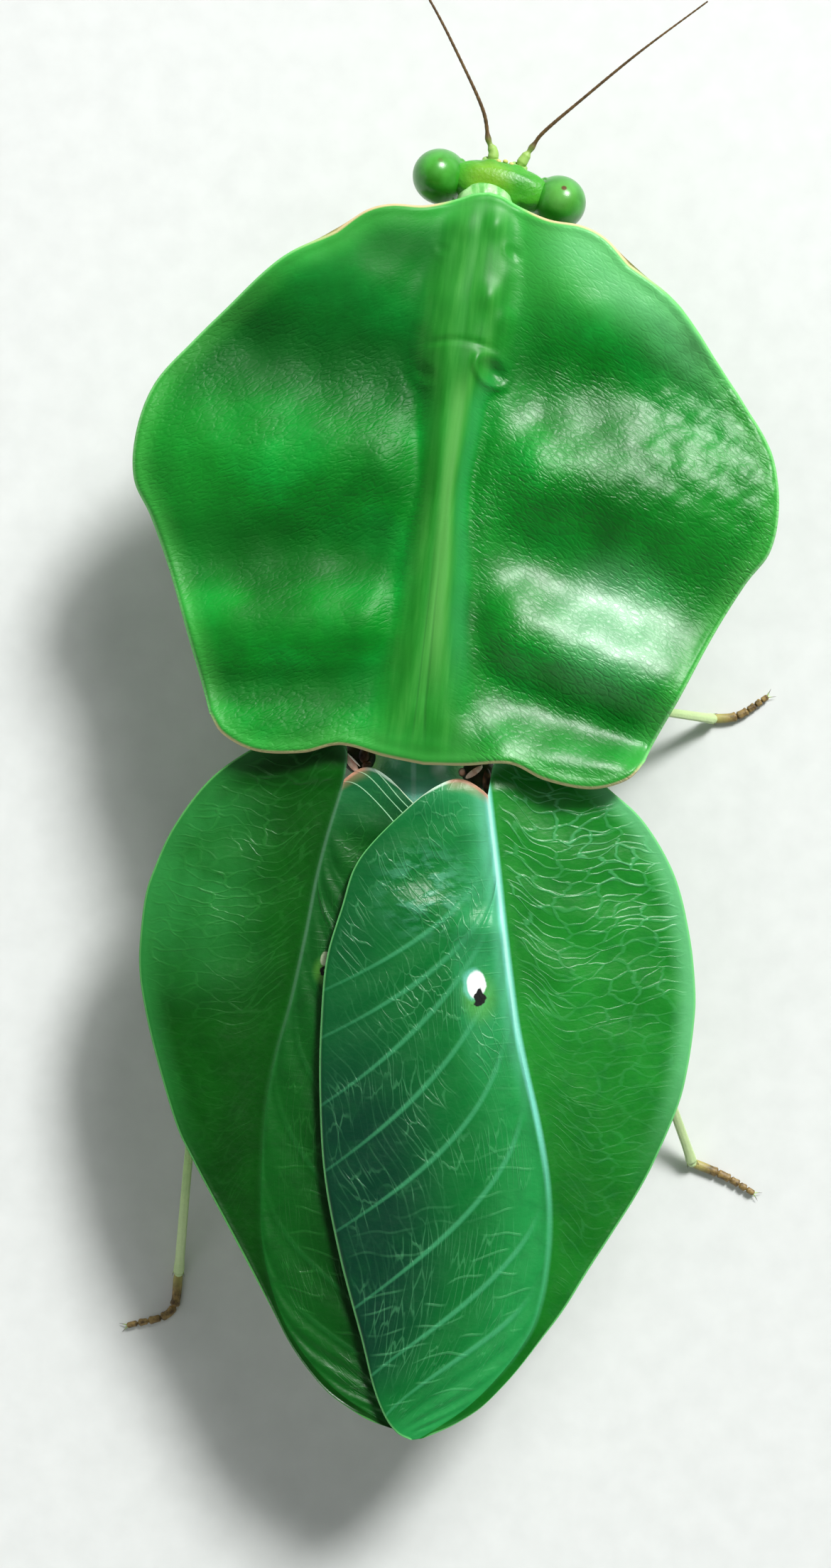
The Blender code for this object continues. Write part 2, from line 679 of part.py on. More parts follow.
def wing_middle(x, y, side):
    """The height of a forewing's middle surface; the right one lies on the left one."""
    fall = WING_FALL * (max(0.0, -y) / WING_LENGTH) ** 1.5
    level = WING_LEVEL - WING_ARCH * x * x - fall
    apart = 1.0 - smoothstep(*WING_PART_EDGES, abs(x))
    apart *= smoothstep(-WING_PART_START, -WING_PART_FULL, -y)
    return level + side * WING_PART * apart


def hindwing_top(x, y):
    lowest = wing_middle(x, y, -1) - WING_THICK / 2
    return lowest - GAP


def build_hindwing(name, side):
    edge = smooth_curve(HINDWING_EDGE)
    start = edge[0].y
    end = edge[-1].y

    def place(column, row):
        y = start + (end - start) * row / HINDWING_ROWS
        outside = x_at(edge, y)
        share = column / (2 * HINDWING_PLEATS)
        return side * (HINDWING_INSIDE + (outside - HINDWING_INSIDE) * share), y

    def high(x, y, column, row):
        return hindwing_top(x, y) - HINDWING_PLEAT_DEPTH * (column % 2)

    def low(x, y, column, row):
        return hindwing_top(x, y) - HINDWING_THICK

    clear = make_material("Hindwing " + name, MEMBRANE, 0.4)
    plate(name, 2 * HINDWING_PLEATS, HINDWING_ROWS, place, low, high, clear, whole)


# Rear trunk


def abdomen_sections():
    """Overlapping segments, each a little wider at its rear edge than the next one's front."""
    backward = [(-place, *values) for place, *values in ABDOMEN]
    sections = []
    length = (ABDOMEN_END - ABDOMEN_START) / ABDOMEN_SEGMENTS
    for index in range(ABDOMEN_SEGMENTS):
        for share, swell in ((0.06, -ABDOMEN_STEP), (0.5, 0.0), (0.94, 0.0)):
            place = ABDOMEN_START + length * (index + share)
            half_width, low, high = along(backward, -place)
            sections.append((place, half_width + swell, low - swell, high + swell))
    return sections


def build_rear_trunk():
    skin = make_material("Thorax green", PALE_GREEN, 0.5)
    loft("thorax", trunk_rings(THORAX, 16, 0.0, THORAX_SQUARE), skin, whole)
    clearance = loft("thorax_clearance", trunk_rings(THORAX, 16, GAP, THORAX_SQUARE), skin, whole)
    hide_cutter(clearance)
    skin = make_material("Abdomen green", PALE_GREEN, 0.5)
    loft("abdomen", trunk_rings(abdomen_sections(), 18), skin, whole)
    valves = [(-32.5, 0.9, 5.6, 6.6), (-33.3, 0.8, 5.5, 6.4), (-34.4, 0.35, 5.5, 6.1)]
    loft("ovipositor", trunk_rings(valves, 10), make_material("Ovipositor tan", TAN, 0.5), whole)
    for side, word in ((-1, "left"), (1, "right")):
        route = [(1.5, -32.5, 7.3), (2.1, -33.6, 7.5), (2.4, -34.9, 7.8)]
        path = smooth_curve([(side * x, y, z) for x, y, z in route], 4)
        radii = [0.5 - 0.035 * index for index in range(len(path))]
        tube("cercus_" + word, path, radii, make_material("Cercus green " + word, PALE_GREEN, 0.5), whole)
    return clearance


# Legs


def mirrored(point, side):
    return Vector((side * point[0], *point[1:]))


def spaced(start, end, count, pull_start, pull_end):
    """Evenly spaced points from start to end, drawn in at each end."""
    ahead = (end - start).normalized()
    first = start + ahead * pull_start
    last = end - ahead * pull_end
    return [first.lerp(last, index / (count - 1)) for index in range(count)]


def path_frame(path, share, upright):
    """The point, direction, side and lower direction of a limb at a share of its length."""
    point = at_share(path, share)
    ahead = (at_share(path, min(1.0, share + 0.05)) - at_share(path, max(0.0, share - 0.05))).normalized()
    across = ahead.cross(Vector(upright)).normalized()
    return point, ahead, across, ahead.cross(across).normalized()


def spine_row(path, widths, depths, upright, row, side):
    """One row of spines beside the lower edge of a limb."""
    start, end, count, first, last, aside = row
    aside *= side
    spikes = []
    for index in range(count):
        part = index / (count - 1)
        share = start + (end - start) * part
        point, ahead, across, lower = path_frame(path, share, upright)
        spot = share * (len(path) - 1)
        low = int(spot)
        high = min(low + 1, len(path) - 1)
        width = widths[low] + (widths[high] - widths[low]) * (spot - low)
        depth = depths[low] + (depths[high] - depths[low]) * (spot - low)
        rise = math.sqrt(max(0.0, 1.0 - aside * aside))
        root = point + across * width * aside + lower * depth * rise
        length = first + (last - first) * part
        length *= 1.0 if index % 2 else 0.82
        direction = lower + across * aside * 0.7 + ahead * SPINE_SLANT
        spikes.append((root, direction, length, SPINE_RADIUS * (0.7 + 0.3 * length)))
    return spikes


def build_foreleg(side, word, clearance):
    skin = make_material("Foreleg green " + word, LEG_GREEN, 0.45)
    hip, elbow, knee, toe = [mirrored(point, side) for point in (FORE_HIP, FORE_ELBOW, FORE_KNEE, FORE_TOE)]
    shin = smooth_curve([mirrored(point, side) for point in FORE_SHIN])
    coxa_pull, femur_pull, tarsus_pull = FORE_PULLS
    path = spaced(hip, elbow, 6, *coxa_pull)
    coxa = loft("fore_coxa_" + word,
                limb_rings(path, [0.8, 0.95, 0.9, 0.8, 0.75, 0.5], [1.1, 1.3, 1.2, 1.0, 0.85, 0.6], 10),
                skin, front_body)
    cut(coxa, clearance)
    path = spaced(elbow, knee, 7, *femur_pull)
    widths = [0.5, 0.75, 0.85, 0.85, 0.8, 0.65, 0.4]
    depths = [0.55, 1.25, 1.5, 1.4, 1.15, 0.85, 0.5]
    tilt = (side * 0.9, 0.0, 1.0)
    femur = loft("fore_femur_" + word, limb_rings(path, widths, depths, 10, tilt), skin, front_body)
    spikes = []
    for row in FEMUR_SPINES:
        spikes.extend(spine_row(path, widths, depths, tilt, row, side))
    fuse_spikes(femur, spikes)
    path = [at_share(shin, index / 5) for index in range(6)]
    shin_tilt = (-side * 0.9, 0.0, -1.0)
    widths = [0.4, 0.55, 0.5, 0.45, 0.4, 0.2]
    depths = [0.45, 0.65, 0.6, 0.5, 0.4, 0.2]
    tibia = loft("fore_tibia_" + word, limb_rings(path, widths, depths, 8, shin_tilt), skin, front_body)
    spikes = []
    for row in TIBIA_SPINES:
        spikes.extend(spine_row(path, widths, depths, shin_tilt, row, side))
    point, ahead, across, lower = path_frame(path, 0.94, shin_tilt)
    spikes.append((point, ahead * 0.6 + lower, *SHIN_HOOK))
    fuse_spikes(tibia, spikes)
    path = spaced(shin[-1], toe, 6, *tarsus_pull)
    tube("fore_tarsus_" + word, path, [0.25] * 5 + [0.15], skin, front_body)


def build_walking_leg(part, side, word, hip, socket, knee, bow, foot, pulls, clearance):
    skin = make_material(part + " leg green " + word, LEG_GREEN, 0.45)
    hip, socket, knee = [mirrored(point, side) for point in (hip, socket, knee)]
    ankle = mirrored((*foot[0], ANKLE_HEIGHT), side)
    coxa_pull, femur_pull, tibia_pull = pulls
    path = spaced(hip, socket, 5, *coxa_pull)
    rings = limb_rings(path, COXA_RADII, COXA_RADII, 10)
    coxa = loft(part + "_coxa_" + word, rings, skin, whole)
    cut(coxa, clearance)
    path = spaced(socket, knee, len(FEMUR_RADII), *femur_pull)
    tube(part + "_femur_" + word, path, FEMUR_RADII, skin, whole)
    ends = spaced(knee, ankle, 2, *tibia_pull)
    middle = mirrored(bow, side) if bow else ends[0].lerp(ends[1], 0.5)
    path = [at_share(smooth_curve([ends[0], middle, ends[1]]), index / 5) for index in range(6)]
    tube(part + "_tibia_" + word, path, TIBIA_RADII, skin, whole)
    build_foot(part + "_tarsus_" + word, side, foot)


def build_foot(name, side, foot):
    """A jointed foot that lies on the floor: its rings are flattened at z = 0."""
    curve = smooth_curve([mirrored((*spot, TARSUS_HEIGHT), side) for spot in foot])
    start = TARSUS_PULL / sum((b - a).length for a, b in zip(curve, curve[1:]))
    rings = []
    path = []
    sizes = []
    for index in range(TARSUS_PARTS):
        for share, size in ((0.0, 0.8), (0.75, 1.0)):
            place = start + (1.0 - start) * (index + share) / TARSUS_PARTS
            path.append(at_share(curve, place))
            sizes.append(size * TARSUS_RADIUS)
    path.append(at_share(curve, 1.0))
    sizes.append(0.15)
    for ring in limb_rings(path, sizes, sizes, 8):
        rings.append([Vector((point.x, point.y, max(0.0, point.z))) for point in ring])
    item = loft(name, rings, make_material("Foot tan " + name, TAN, 0.6), whole)
    length, radius, spread = CLAW
    ahead = (path[-1] - path[-2]).normalized()
    across = ahead.cross(Vector((0.0, 0.0, 1.0)))
    fuse_spikes(item, [(path[-1], ahead + across * spread * way, length, radius) for way in (-1, 1)], 6)


def build_legs(front_clearance, rear_clearance):
    for side, word in ((-1, "left"), (1, "right")):
        build_foreleg(side, word, front_clearance)
    build_walking_leg("mid", 1, "right", MID_HIP, MID_SOCKET, MID_RIGHT_KNEE, None,
                      MID_RIGHT_FOOT, MID_PULLS, rear_clearance)
    build_walking_leg("mid", -1, "left", MID_HIP, MID_SOCKET, MID_LEFT_KNEE, None,
                      MID_LEFT_FOOT, MID_PULLS, rear_clearance)
    build_walking_leg("hind", 1, "right", HIND_HIP, HIND_SOCKET, HIND_RIGHT_KNEE, HIND_RIGHT_BOW,
                      HIND_RIGHT_FOOT, HIND_PULLS, rear_clearance)
    build_walking_leg("hind", -1, "left", HIND_HIP, HIND_SOCKET, HIND_LEFT_KNEE, HIND_LEFT_BOW,
                      HIND_LEFT_FOOT, HIND_PULLS, rear_clearance)


clear_scene()
model = make_collection("shield_mantis")
cutters = make_collection("cutters")
whole = add_empty("whole_animal", (-STAND_CENTRE[0], -STAND_CENTRE[1], 0.0), 0.0)
front_body = add_empty("front_body", FRONT_PLACE, FRONT_TURN, whole)
head_frame = add_empty("head_frame", HEAD_PLACE, HEAD_TURN, whole)
shield_curves = {
    "rear": smooth_curve(SHIELD_REAR),
    "side": smooth_curve(SHIELD_SIDE),
    "front": smooth_curve(SHIELD_FRONT),
}

build_shield()
front_clearance = build_front_trunk()
build_head()
build_antenna("left", ANTENNA_LEFT)
build_antenna("right", ANTENNA_RIGHT)
rear_clearance = build_rear_trunk()
build_forewing("forewing_right", 1, RIGHT_INNER, RIGHT_VEIN, RIGHT_OUTER,
               make_material("Wing green right", DEEP_GREEN, 0.4))
build_forewing("forewing_left", -1, LEFT_INNER, LEFT_VEIN, LEFT_OUTER,
               make_material("Wing green left", DEEP_GREEN, 0.4))
build_hindwing("hindwing_right", 1)
build_hindwing("hindwing_left", -1)
build_legs(front_clearance, rear_clearance)
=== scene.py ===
import math

import bpy
import numpy as np
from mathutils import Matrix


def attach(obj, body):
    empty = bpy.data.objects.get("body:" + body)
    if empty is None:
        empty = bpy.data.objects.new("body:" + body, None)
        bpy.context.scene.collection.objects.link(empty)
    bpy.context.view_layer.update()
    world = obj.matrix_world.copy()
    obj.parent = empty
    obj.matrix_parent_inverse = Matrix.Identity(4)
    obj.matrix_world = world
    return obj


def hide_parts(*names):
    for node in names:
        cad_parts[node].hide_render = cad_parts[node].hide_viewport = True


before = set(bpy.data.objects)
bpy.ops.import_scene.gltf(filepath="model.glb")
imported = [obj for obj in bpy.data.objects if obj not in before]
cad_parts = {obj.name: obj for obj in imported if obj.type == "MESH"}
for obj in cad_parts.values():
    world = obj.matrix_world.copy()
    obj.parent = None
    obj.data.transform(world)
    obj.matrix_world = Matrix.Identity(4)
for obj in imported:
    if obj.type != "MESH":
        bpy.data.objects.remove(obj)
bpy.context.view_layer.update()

# Everything is modelled in millimetres and shrunk to metres when a piece is set in place.
mm = 0.001
farAway = 9.0                           # stands for a distance where there is nothing to measure to


# Numbers along curves and surfaces

def smoothStep(low, high, value):
    share = np.clip((np.asarray(value, float) - low) / (high - low), 0.0, 1.0)
    return share * share * (3.0 - 2.0 * share)


def hump(distance, width):
    return np.exp(-(np.asarray(distance, float) / width) ** 2)


def smoothCurve(points, perSpan=12):    # Catmull-Rom through the given points
    given = np.array(points, float)
    padded = np.vstack([2 * given[0] - given[1], given, 2 * given[-1] - given[-2]])
    spots = [given[:1]]
    t = (np.arange(1, perSpan + 1) / perSpan)[:, None]
    for a, b, c, d in zip(padded, padded[1:], padded[2:], padded[3:]):
        bend = (2 * a - 5 * b + 4 * c - d) * t ** 2
        twist = (3 * b - a - 3 * c + d) * t ** 3
        spots.append((2 * b + (c - a) * t + bend + twist) / 2)
    return np.vstack(spots)


def lengthsOf(curve):
    steps = np.linalg.norm(np.diff(curve, axis=0), axis=1)
    return np.concatenate([[0.0], np.cumsum(steps)])


def atShare(curve, share):              # points at shares of a curve's length
    lengths = lengthsOf(curve)
    spot = np.asarray(share, float) * lengths[-1]
    return np.stack([np.interp(spot, lengths, curve[:, axis]) for axis in range(curve.shape[1])], -1)


def xAt(curve, y):                      # the x of a curve that runs backward, where it passes y
    return np.interp(-np.asarray(y, float), -curve[:, 1], curve[:, 0])


def readTable(table, place):            # eases between the rows (place, value, ...)
    rows = np.array(table, float)
    place = np.clip(place, rows[0, 0], rows[-1, 0])
    index = np.clip(np.searchsorted(rows[:, 0], place) - 1, 0, len(rows) - 2)
    share = (place - rows[index, 0]) / (rows[index + 1, 0] - rows[index, 0])
    share = (share * share * (3 - 2 * share))[..., None]
    return rows[index, 1:] * (1 - share) + rows[index + 1, 1:] * share


# Modelling helpers

def nothingSelected():
    if bpy.context.mode != "OBJECT":
        bpy.ops.object.mode_set(mode="OBJECT")
    bpy.ops.object.select_all(action="DESELECT")


def takeUp(*pieces):
    nothingSelected()
    for piece in pieces:
        piece.select_set(True)
    bpy.context.view_layer.objects.active = pieces[0]


def gridPiece(name, columns, rows):     # a flat grid and the share across and along of each vertex
    nothingSelected()
    bpy.ops.mesh.primitive_grid_add(x_subdivisions=columns, y_subdivisions=rows, size=1)
    piece = bpy.context.object
    piece.name = name
    flat = np.empty(len(piece.data.vertices) * 3)
    piece.data.vertices.foreach_get("co", flat)
    flat = flat.reshape(-1, 3)
    return piece, flat[:, 0] + 0.5, flat[:, 1] + 0.5


def moveTo(piece, x, y, z):
    spots = np.stack(np.broadcast_arrays(x, y, z), -1).astype(np.float32)
    piece.data.vertices.foreach_set("co", spots.ravel())
    piece.data.update()


def spotsOf(piece):
    flat = np.empty(len(piece.data.vertices) * 3)
    piece.data.vertices.foreach_get("co", flat)
    return flat.reshape(-1, 3)


def setValue(piece, name, values):      # a number for each vertex that a material can read
    layer = piece.data.attributes.new(name, "FLOAT", "POINT")
    layer.data.foreach_set("value", np.asarray(values, np.float32))


def setMap(piece, name, across, along):  # a UV map from two numbers for each vertex
    corners = np.empty(len(piece.data.loops), np.int64)
    piece.data.loops.foreach_get("vertex_index", corners)
    layer = piece.data.uv_layers.new(name=name)
    layer.data.foreach_set("uv", np.stack([across[corners], along[corners]], -1).ravel())


def apply(piece, kind, **settings):     # adds a modifier and applies it
    takeUp(piece)
    modifier = piece.modifiers.new(kind.title(), kind)
    for key, value in settings.items():
        setattr(modifier, key, value)
    bpy.ops.object.modifier_apply(modifier=modifier.name)


def closeUp(piece, gap=0.0005):         # merges seams and poles and turns the faces outward
    takeUp(piece)
    bpy.ops.object.mode_set(mode="EDIT")
    bpy.ops.mesh.select_all(action="SELECT")
    bpy.ops.mesh.remove_doubles(threshold=gap)
    bpy.ops.mesh.normals_make_consistent(inside=False)
    bpy.ops.object.mode_set(mode="OBJECT")
    bpy.ops.object.shade_smooth()


def thicken(piece, depth, rimDepth=None, rim=None):     # rim: a value on the vertices, width
    # closes a sheet with a lower face, which comes nearer where it meets the rim
    takeUp(piece)
    bpy.ops.object.mode_set(mode="EDIT")
    bpy.ops.mesh.select_all(action="SELECT")
    bpy.ops.mesh.extrude_region_move(TRANSFORM_OT_translate={"value": (0, 0, -depth)})
    bpy.ops.object.mode_set(mode="OBJECT")
    if rimDepth is not None:
        lower = np.zeros(len(piece.data.vertices), bool)
        piece.data.vertices.foreach_get("select", lower)
        values = np.empty(len(piece.data.vertices), np.float32)
        piece.data.attributes[rim[0]].data.foreach_get("value", values)
        spots = spotsOf(piece)
        lift = (depth - rimDepth) * (1 - smoothStep(0.0, rim[1], values))
        moveTo(piece, spots[:, 0], spots[:, 1], spots[:, 2] + lift * lower)
    closeUp(piece)


def joinUp(name, *pieces):
    takeUp(*pieces)
    bpy.ops.object.join()
    piece = bpy.context.object
    piece.name = name
    return piece


def rollUp(name, route, sizes, rings=60, around=24, ends=(0.5, 0.5), upright=(0, 0, 1), square=1.0,
           relief=None):
    # A grid rolled round a smooth route: sizes is a table of (share, half width, half depth),
    # ends the length over which each end rounds off, relief(angle, share) extra millimetres.
    piece, turn, share = gridPiece(name, around, rings)
    share = (1 - np.cos(np.pi * share)) / 2 * 0.6 + share * 0.4
    curve = smoothCurve(route) if len(route) > 2 else np.linspace(route[0], route[1], 25)
    length = lengthsOf(curve)[-1]
    middle = atShare(curve, share)
    step = 0.004
    ahead = atShare(curve, np.minimum(share + step, 1)) - atShare(curve, np.maximum(share - step, 0))
    ahead /= np.linalg.norm(ahead, axis=1)[:, None]
    across = np.cross(ahead, np.array(upright, float))
    across /= np.linalg.norm(across, axis=1)[:, None]
    deep = np.cross(across, ahead)
    size = readTable(sizes, share)
    rounding = np.ones(len(share))
    for place, reach in ((share, ends[0]), (1 - share, ends[1])):
        if reach:
            near = np.clip(place * length / reach, 0.0, 1.0)
            rounding *= np.sqrt(1 - (1 - near) ** 2)
    angle = turn * 2 * np.pi
    more = relief(angle, share) if relief else 0.0
    cosine = np.sign(np.cos(angle)) * np.abs(np.cos(angle)) ** square
    sine = np.sign(np.sin(angle)) * np.abs(np.sin(angle)) ** square
    wide = (size[:, 0] + more) * rounding * cosine
    tall = (size[:, 1] + more) * rounding * sine
    spots = middle + across * wide[:, None] + deep * tall[:, None]
    moveTo(piece, *spots.T)
    setMap(piece, "limbMap", turn, share * length)
    closeUp(piece)
    return piece


def ball(name, place, radii, turn=(0, 0, 0), segments=32, rings=20):
    nothingSelected()
    bpy.ops.mesh.primitive_uv_sphere_add(segments=segments, ring_count=rings, radius=1)
    piece = bpy.context.object
    piece.name = name
    piece.scale = radii
    piece.rotation_euler = [math.radians(value) for value in turn]
    piece.location = place
    bpy.ops.object.transform_apply(location=True, rotation=True, scale=True)
    bpy.ops.object.shade_smooth()
    return piece


# What stands on both sides is given for the right one.
sides = ((-1, "left"), (1, "right"))

# The three frames that the animal is built in, (place in millimetres, turn in degrees): the
# abdomen's axis runs along "whole", the shield's along "front".
frames = {
    "whole": ((-1.65, -4.25, 0.0), 0.0),
    "front": ((-1.38, -4.25, 0.0), -6.5),
    "head": ((2.75, 27.21, 10.0), -12.7),
}


def onSide(side, place):                # a place of the right side, on either side
    return side * place[0], place[1], place[2]


def setInPlace(piece, frameName, finish, slot, *nodes):
    place, turn = frames[frameName]
    takeUp(piece)
    piece.location = [value * mm for value in place]
    piece.rotation_euler = (0, 0, math.radians(turn))
    piece.scale = (mm, mm, mm)
    bpy.ops.object.transform_apply(location=True, rotation=True, scale=True)
    piece.data.materials.clear()
    piece.data.materials.append(finish)
    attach(piece, "root")
    if nodes:
        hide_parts(*nodes)


def worldSpot(frameName, x, y, z):      # a place in one of the frames, in metres
    place, turn = frames[frameName]
    angle = math.radians(turn)
    return (
        (place[0] + x * math.cos(angle) - y * math.sin(angle)) * mm,
        (place[1] + x * math.sin(angle) + y * math.cos(angle)) * mm,
        (place[2] + z) * mm,
    )


# Materials: a wire is a shader socket that can stand in a sum

class Wire:
    def __init__(self, finish, socket):
        self.finish = finish
        self.socket = socket

    def work(self, operation, first, second=0.0):
        return self.finish.node("ShaderNodeMath", {"operation": operation}, {0: first, 1: second})

    def __add__(self, other):
        return self.work("ADD", self, other)

    def __radd__(self, other):
        return self.work("ADD", other, self)

    def __sub__(self, other):
        return self.work("SUBTRACT", self, other)

    def __rsub__(self, other):
        return self.work("SUBTRACT", other, self)

    def __mul__(self, other):
        return self.work("MULTIPLY", self, other)

    def __rmul__(self, other):
        return self.work("MULTIPLY", other, self)

    def __truediv__(self, other):
        return self.work("DIVIDE", self, other)

    def __rtruediv__(self, other):
        return self.work("DIVIDE", other, self)

    def __abs__(self):
        return self.work("ABSOLUTE", self)


socketNames = {                         # the shader's own sockets
    "colour": "Base Color", "roughness": "Roughness", "normal": "Normal", "specular": "Specular IOR Level",
    "coatWeight": "Coat Weight", "coatRoughness": "Coat Roughness",
}


class Finish:
    def __init__(self, name, **constants):
        self.material = bpy.data.materials.new(name)
        self.material.use_nodes = True
        self.tree = self.material.node_tree
        self.shader = self.tree.nodes["Principled BSDF"]
        self.wear(**constants)

    def feed(self, socket, value):
        if isinstance(value, Wire):
            self.tree.links.new(value.socket, socket)
        elif hasattr(value, "__len__") and socket.type == "RGBA":
            socket.default_value = (*value[:3], 1.0)
        else:
            socket.default_value = value

    def node(self, kind, settings, sockets, output=0):
        made = self.tree.nodes.new(kind)
        for key, value in settings.items():
            if key == "stops":
                for position in [stop[0] for stop in value[2:]]:
                    made.color_ramp.elements.new(position)
                for element, (position, colour) in zip(made.color_ramp.elements, sorted(value)):
                    element.position = position
                    element.color = (*colour, 1.0)
            else:
                setattr(made, key, value)
        for key, value in sockets.items():
            self.feed(made.inputs[key], value)
        return Wire(self, made.outputs[output])

    def place(self):                    # object coordinates, in millimetres
        spot = self.node("ShaderNodeTexCoord", {}, {}, "Object")
        return self.node("ShaderNodeVectorMath", {"operation": "SCALE"}, {0: spot, "Scale": 1 / mm})

    def part(self, vector, axis):
        return self.node("ShaderNodeSeparateXYZ", {}, {0: vector}, axis)

    def awayFrom(self, vector, spot):   # millimetres from a spot, given in metres
        centre = [value / mm for value in spot]
        return self.node("ShaderNodeVectorMath", {"operation": "DISTANCE"}, {0: vector, 1: centre}, "Value")

    def near(self, vector, frameName, place, low, high):    # 1 near a place in one of the frames
        return 1 - self.band(self.awayFrom(vector, worldSpot(frameName, *place)), low, high)

    def value(self, name):              # a number set on the vertices
        return self.node("ShaderNodeAttribute", {"attribute_name": name}, {}, "Fac")

    def map(self, name):
        return self.node("ShaderNodeUVMap", {"uv_map": name}, {})

    def stretched(self, vector, *factors):
        return self.node("ShaderNodeVectorMath", {"operation": "MULTIPLY"}, {0: vector, 1: factors})

    def shifted(self, vector, other):
        return self.node("ShaderNodeVectorMath", {"operation": "ADD"}, {0: vector, 1: other})

    def noise(self, vector, scale, detail=3.0, roughness=0.5, output=0):
        sockets = {"Vector": vector, "Scale": scale, "Detail": detail, "Roughness": roughness}
        return self.node("ShaderNodeTexNoise", {}, sockets, output)

    def wander(self, vector, scale, amount):    # the vector pushed about by noise
        push = self.noise(vector, scale, 2.0, 0.5, "Color")
        push = self.node("ShaderNodeVectorMath", {"operation": "SUBTRACT"}, {0: push, 1: (0.5, 0.5, 0.5)})
        push = self.node("ShaderNodeVectorMath", {"operation": "SCALE"}, {0: push, "Scale": amount})
        return self.shifted(vector, push)

    def cells(self, vector, scale, feature="DISTANCE_TO_EDGE", flat=False):
        settings = {"feature": feature, "voronoi_dimensions": "2D" if flat else "3D"}
        return self.node("ShaderNodeTexVoronoi", settings, {"Vector": vector, "Scale": scale}, "Distance")

    def flatSpot(self, across, along):
        return self.node("ShaderNodeCombineXYZ", {}, {"X": across, "Y": along})

    def web(self, across, along, push, width):      # a connected net of thin lines
        net = self.cells(self.wander(self.flatSpot(across, along), 0.8, push), 1.0, flat=True)
        return 1 - self.band(net, 0.02, width)

    def strokes(self, across, along, width, broken=(0.46, 0.58)):
        # wavy lines in pieces, one for each whole number of across
        number = self.whole(across)
        spot = self.flatSpot(number * 5.37, along)
        place = (self.noise(spot, 0.6, 1.0) - 0.5) * 1.5 + number + 0.5
        pieces = self.band(self.noise(spot, 0.7, 1.0), *broken)
        return (1 - self.band(abs(across - place), width * 0.3, width)) * pieces

    def whole(self, value):             # the whole number below
        return self.node("ShaderNodeMath", {"operation": "FLOOR"}, {0: value})

    def band(self, value, low, high):   # 0 at low, 1 at high, eased
        sockets = {"Value": value, "From Min": low, "From Max": high}
        return self.node("ShaderNodeMapRange", {"interpolation_type": "SMOOTHSTEP"}, sockets)

    def hairline(self, value, place, width):    # 1 where a value passes a place
        return 1 - self.band(abs(value - place), width * 0.35, width)

    def mix(self, mask, first, second):
        return self.node("ShaderNodeMix", {"data_type": "RGBA"}, {0: mask, 6: first, 7: second}, 2)

    def ramp(self, value, *stops):
        return self.node("ShaderNodeValToRGB", {"stops": stops}, {0: value})

    def bump(self, height, distance, strength):     # distance in millimetres
        sockets = {"Height": height, "Distance": distance * mm, "Strength": strength}
        return self.node("ShaderNodeBump", {}, sockets)

    def wear(self, **values):           # feeds the shader and gives the material
        for key, value in values.items():
            self.feed(self.shader.inputs[socketNames[key]], value)
        return self.material


def paint(red, green, blue):            # a colour as a picture shows it, 0 to 255
    def linear(value):
        value /= 255
        return value / 12.92 if value <= 0.04045 else ((value + 0.055) / 1.055) ** 2.4
    return linear(red), linear(green), linear(blue)


print("frame and helpers ready")


# Shield

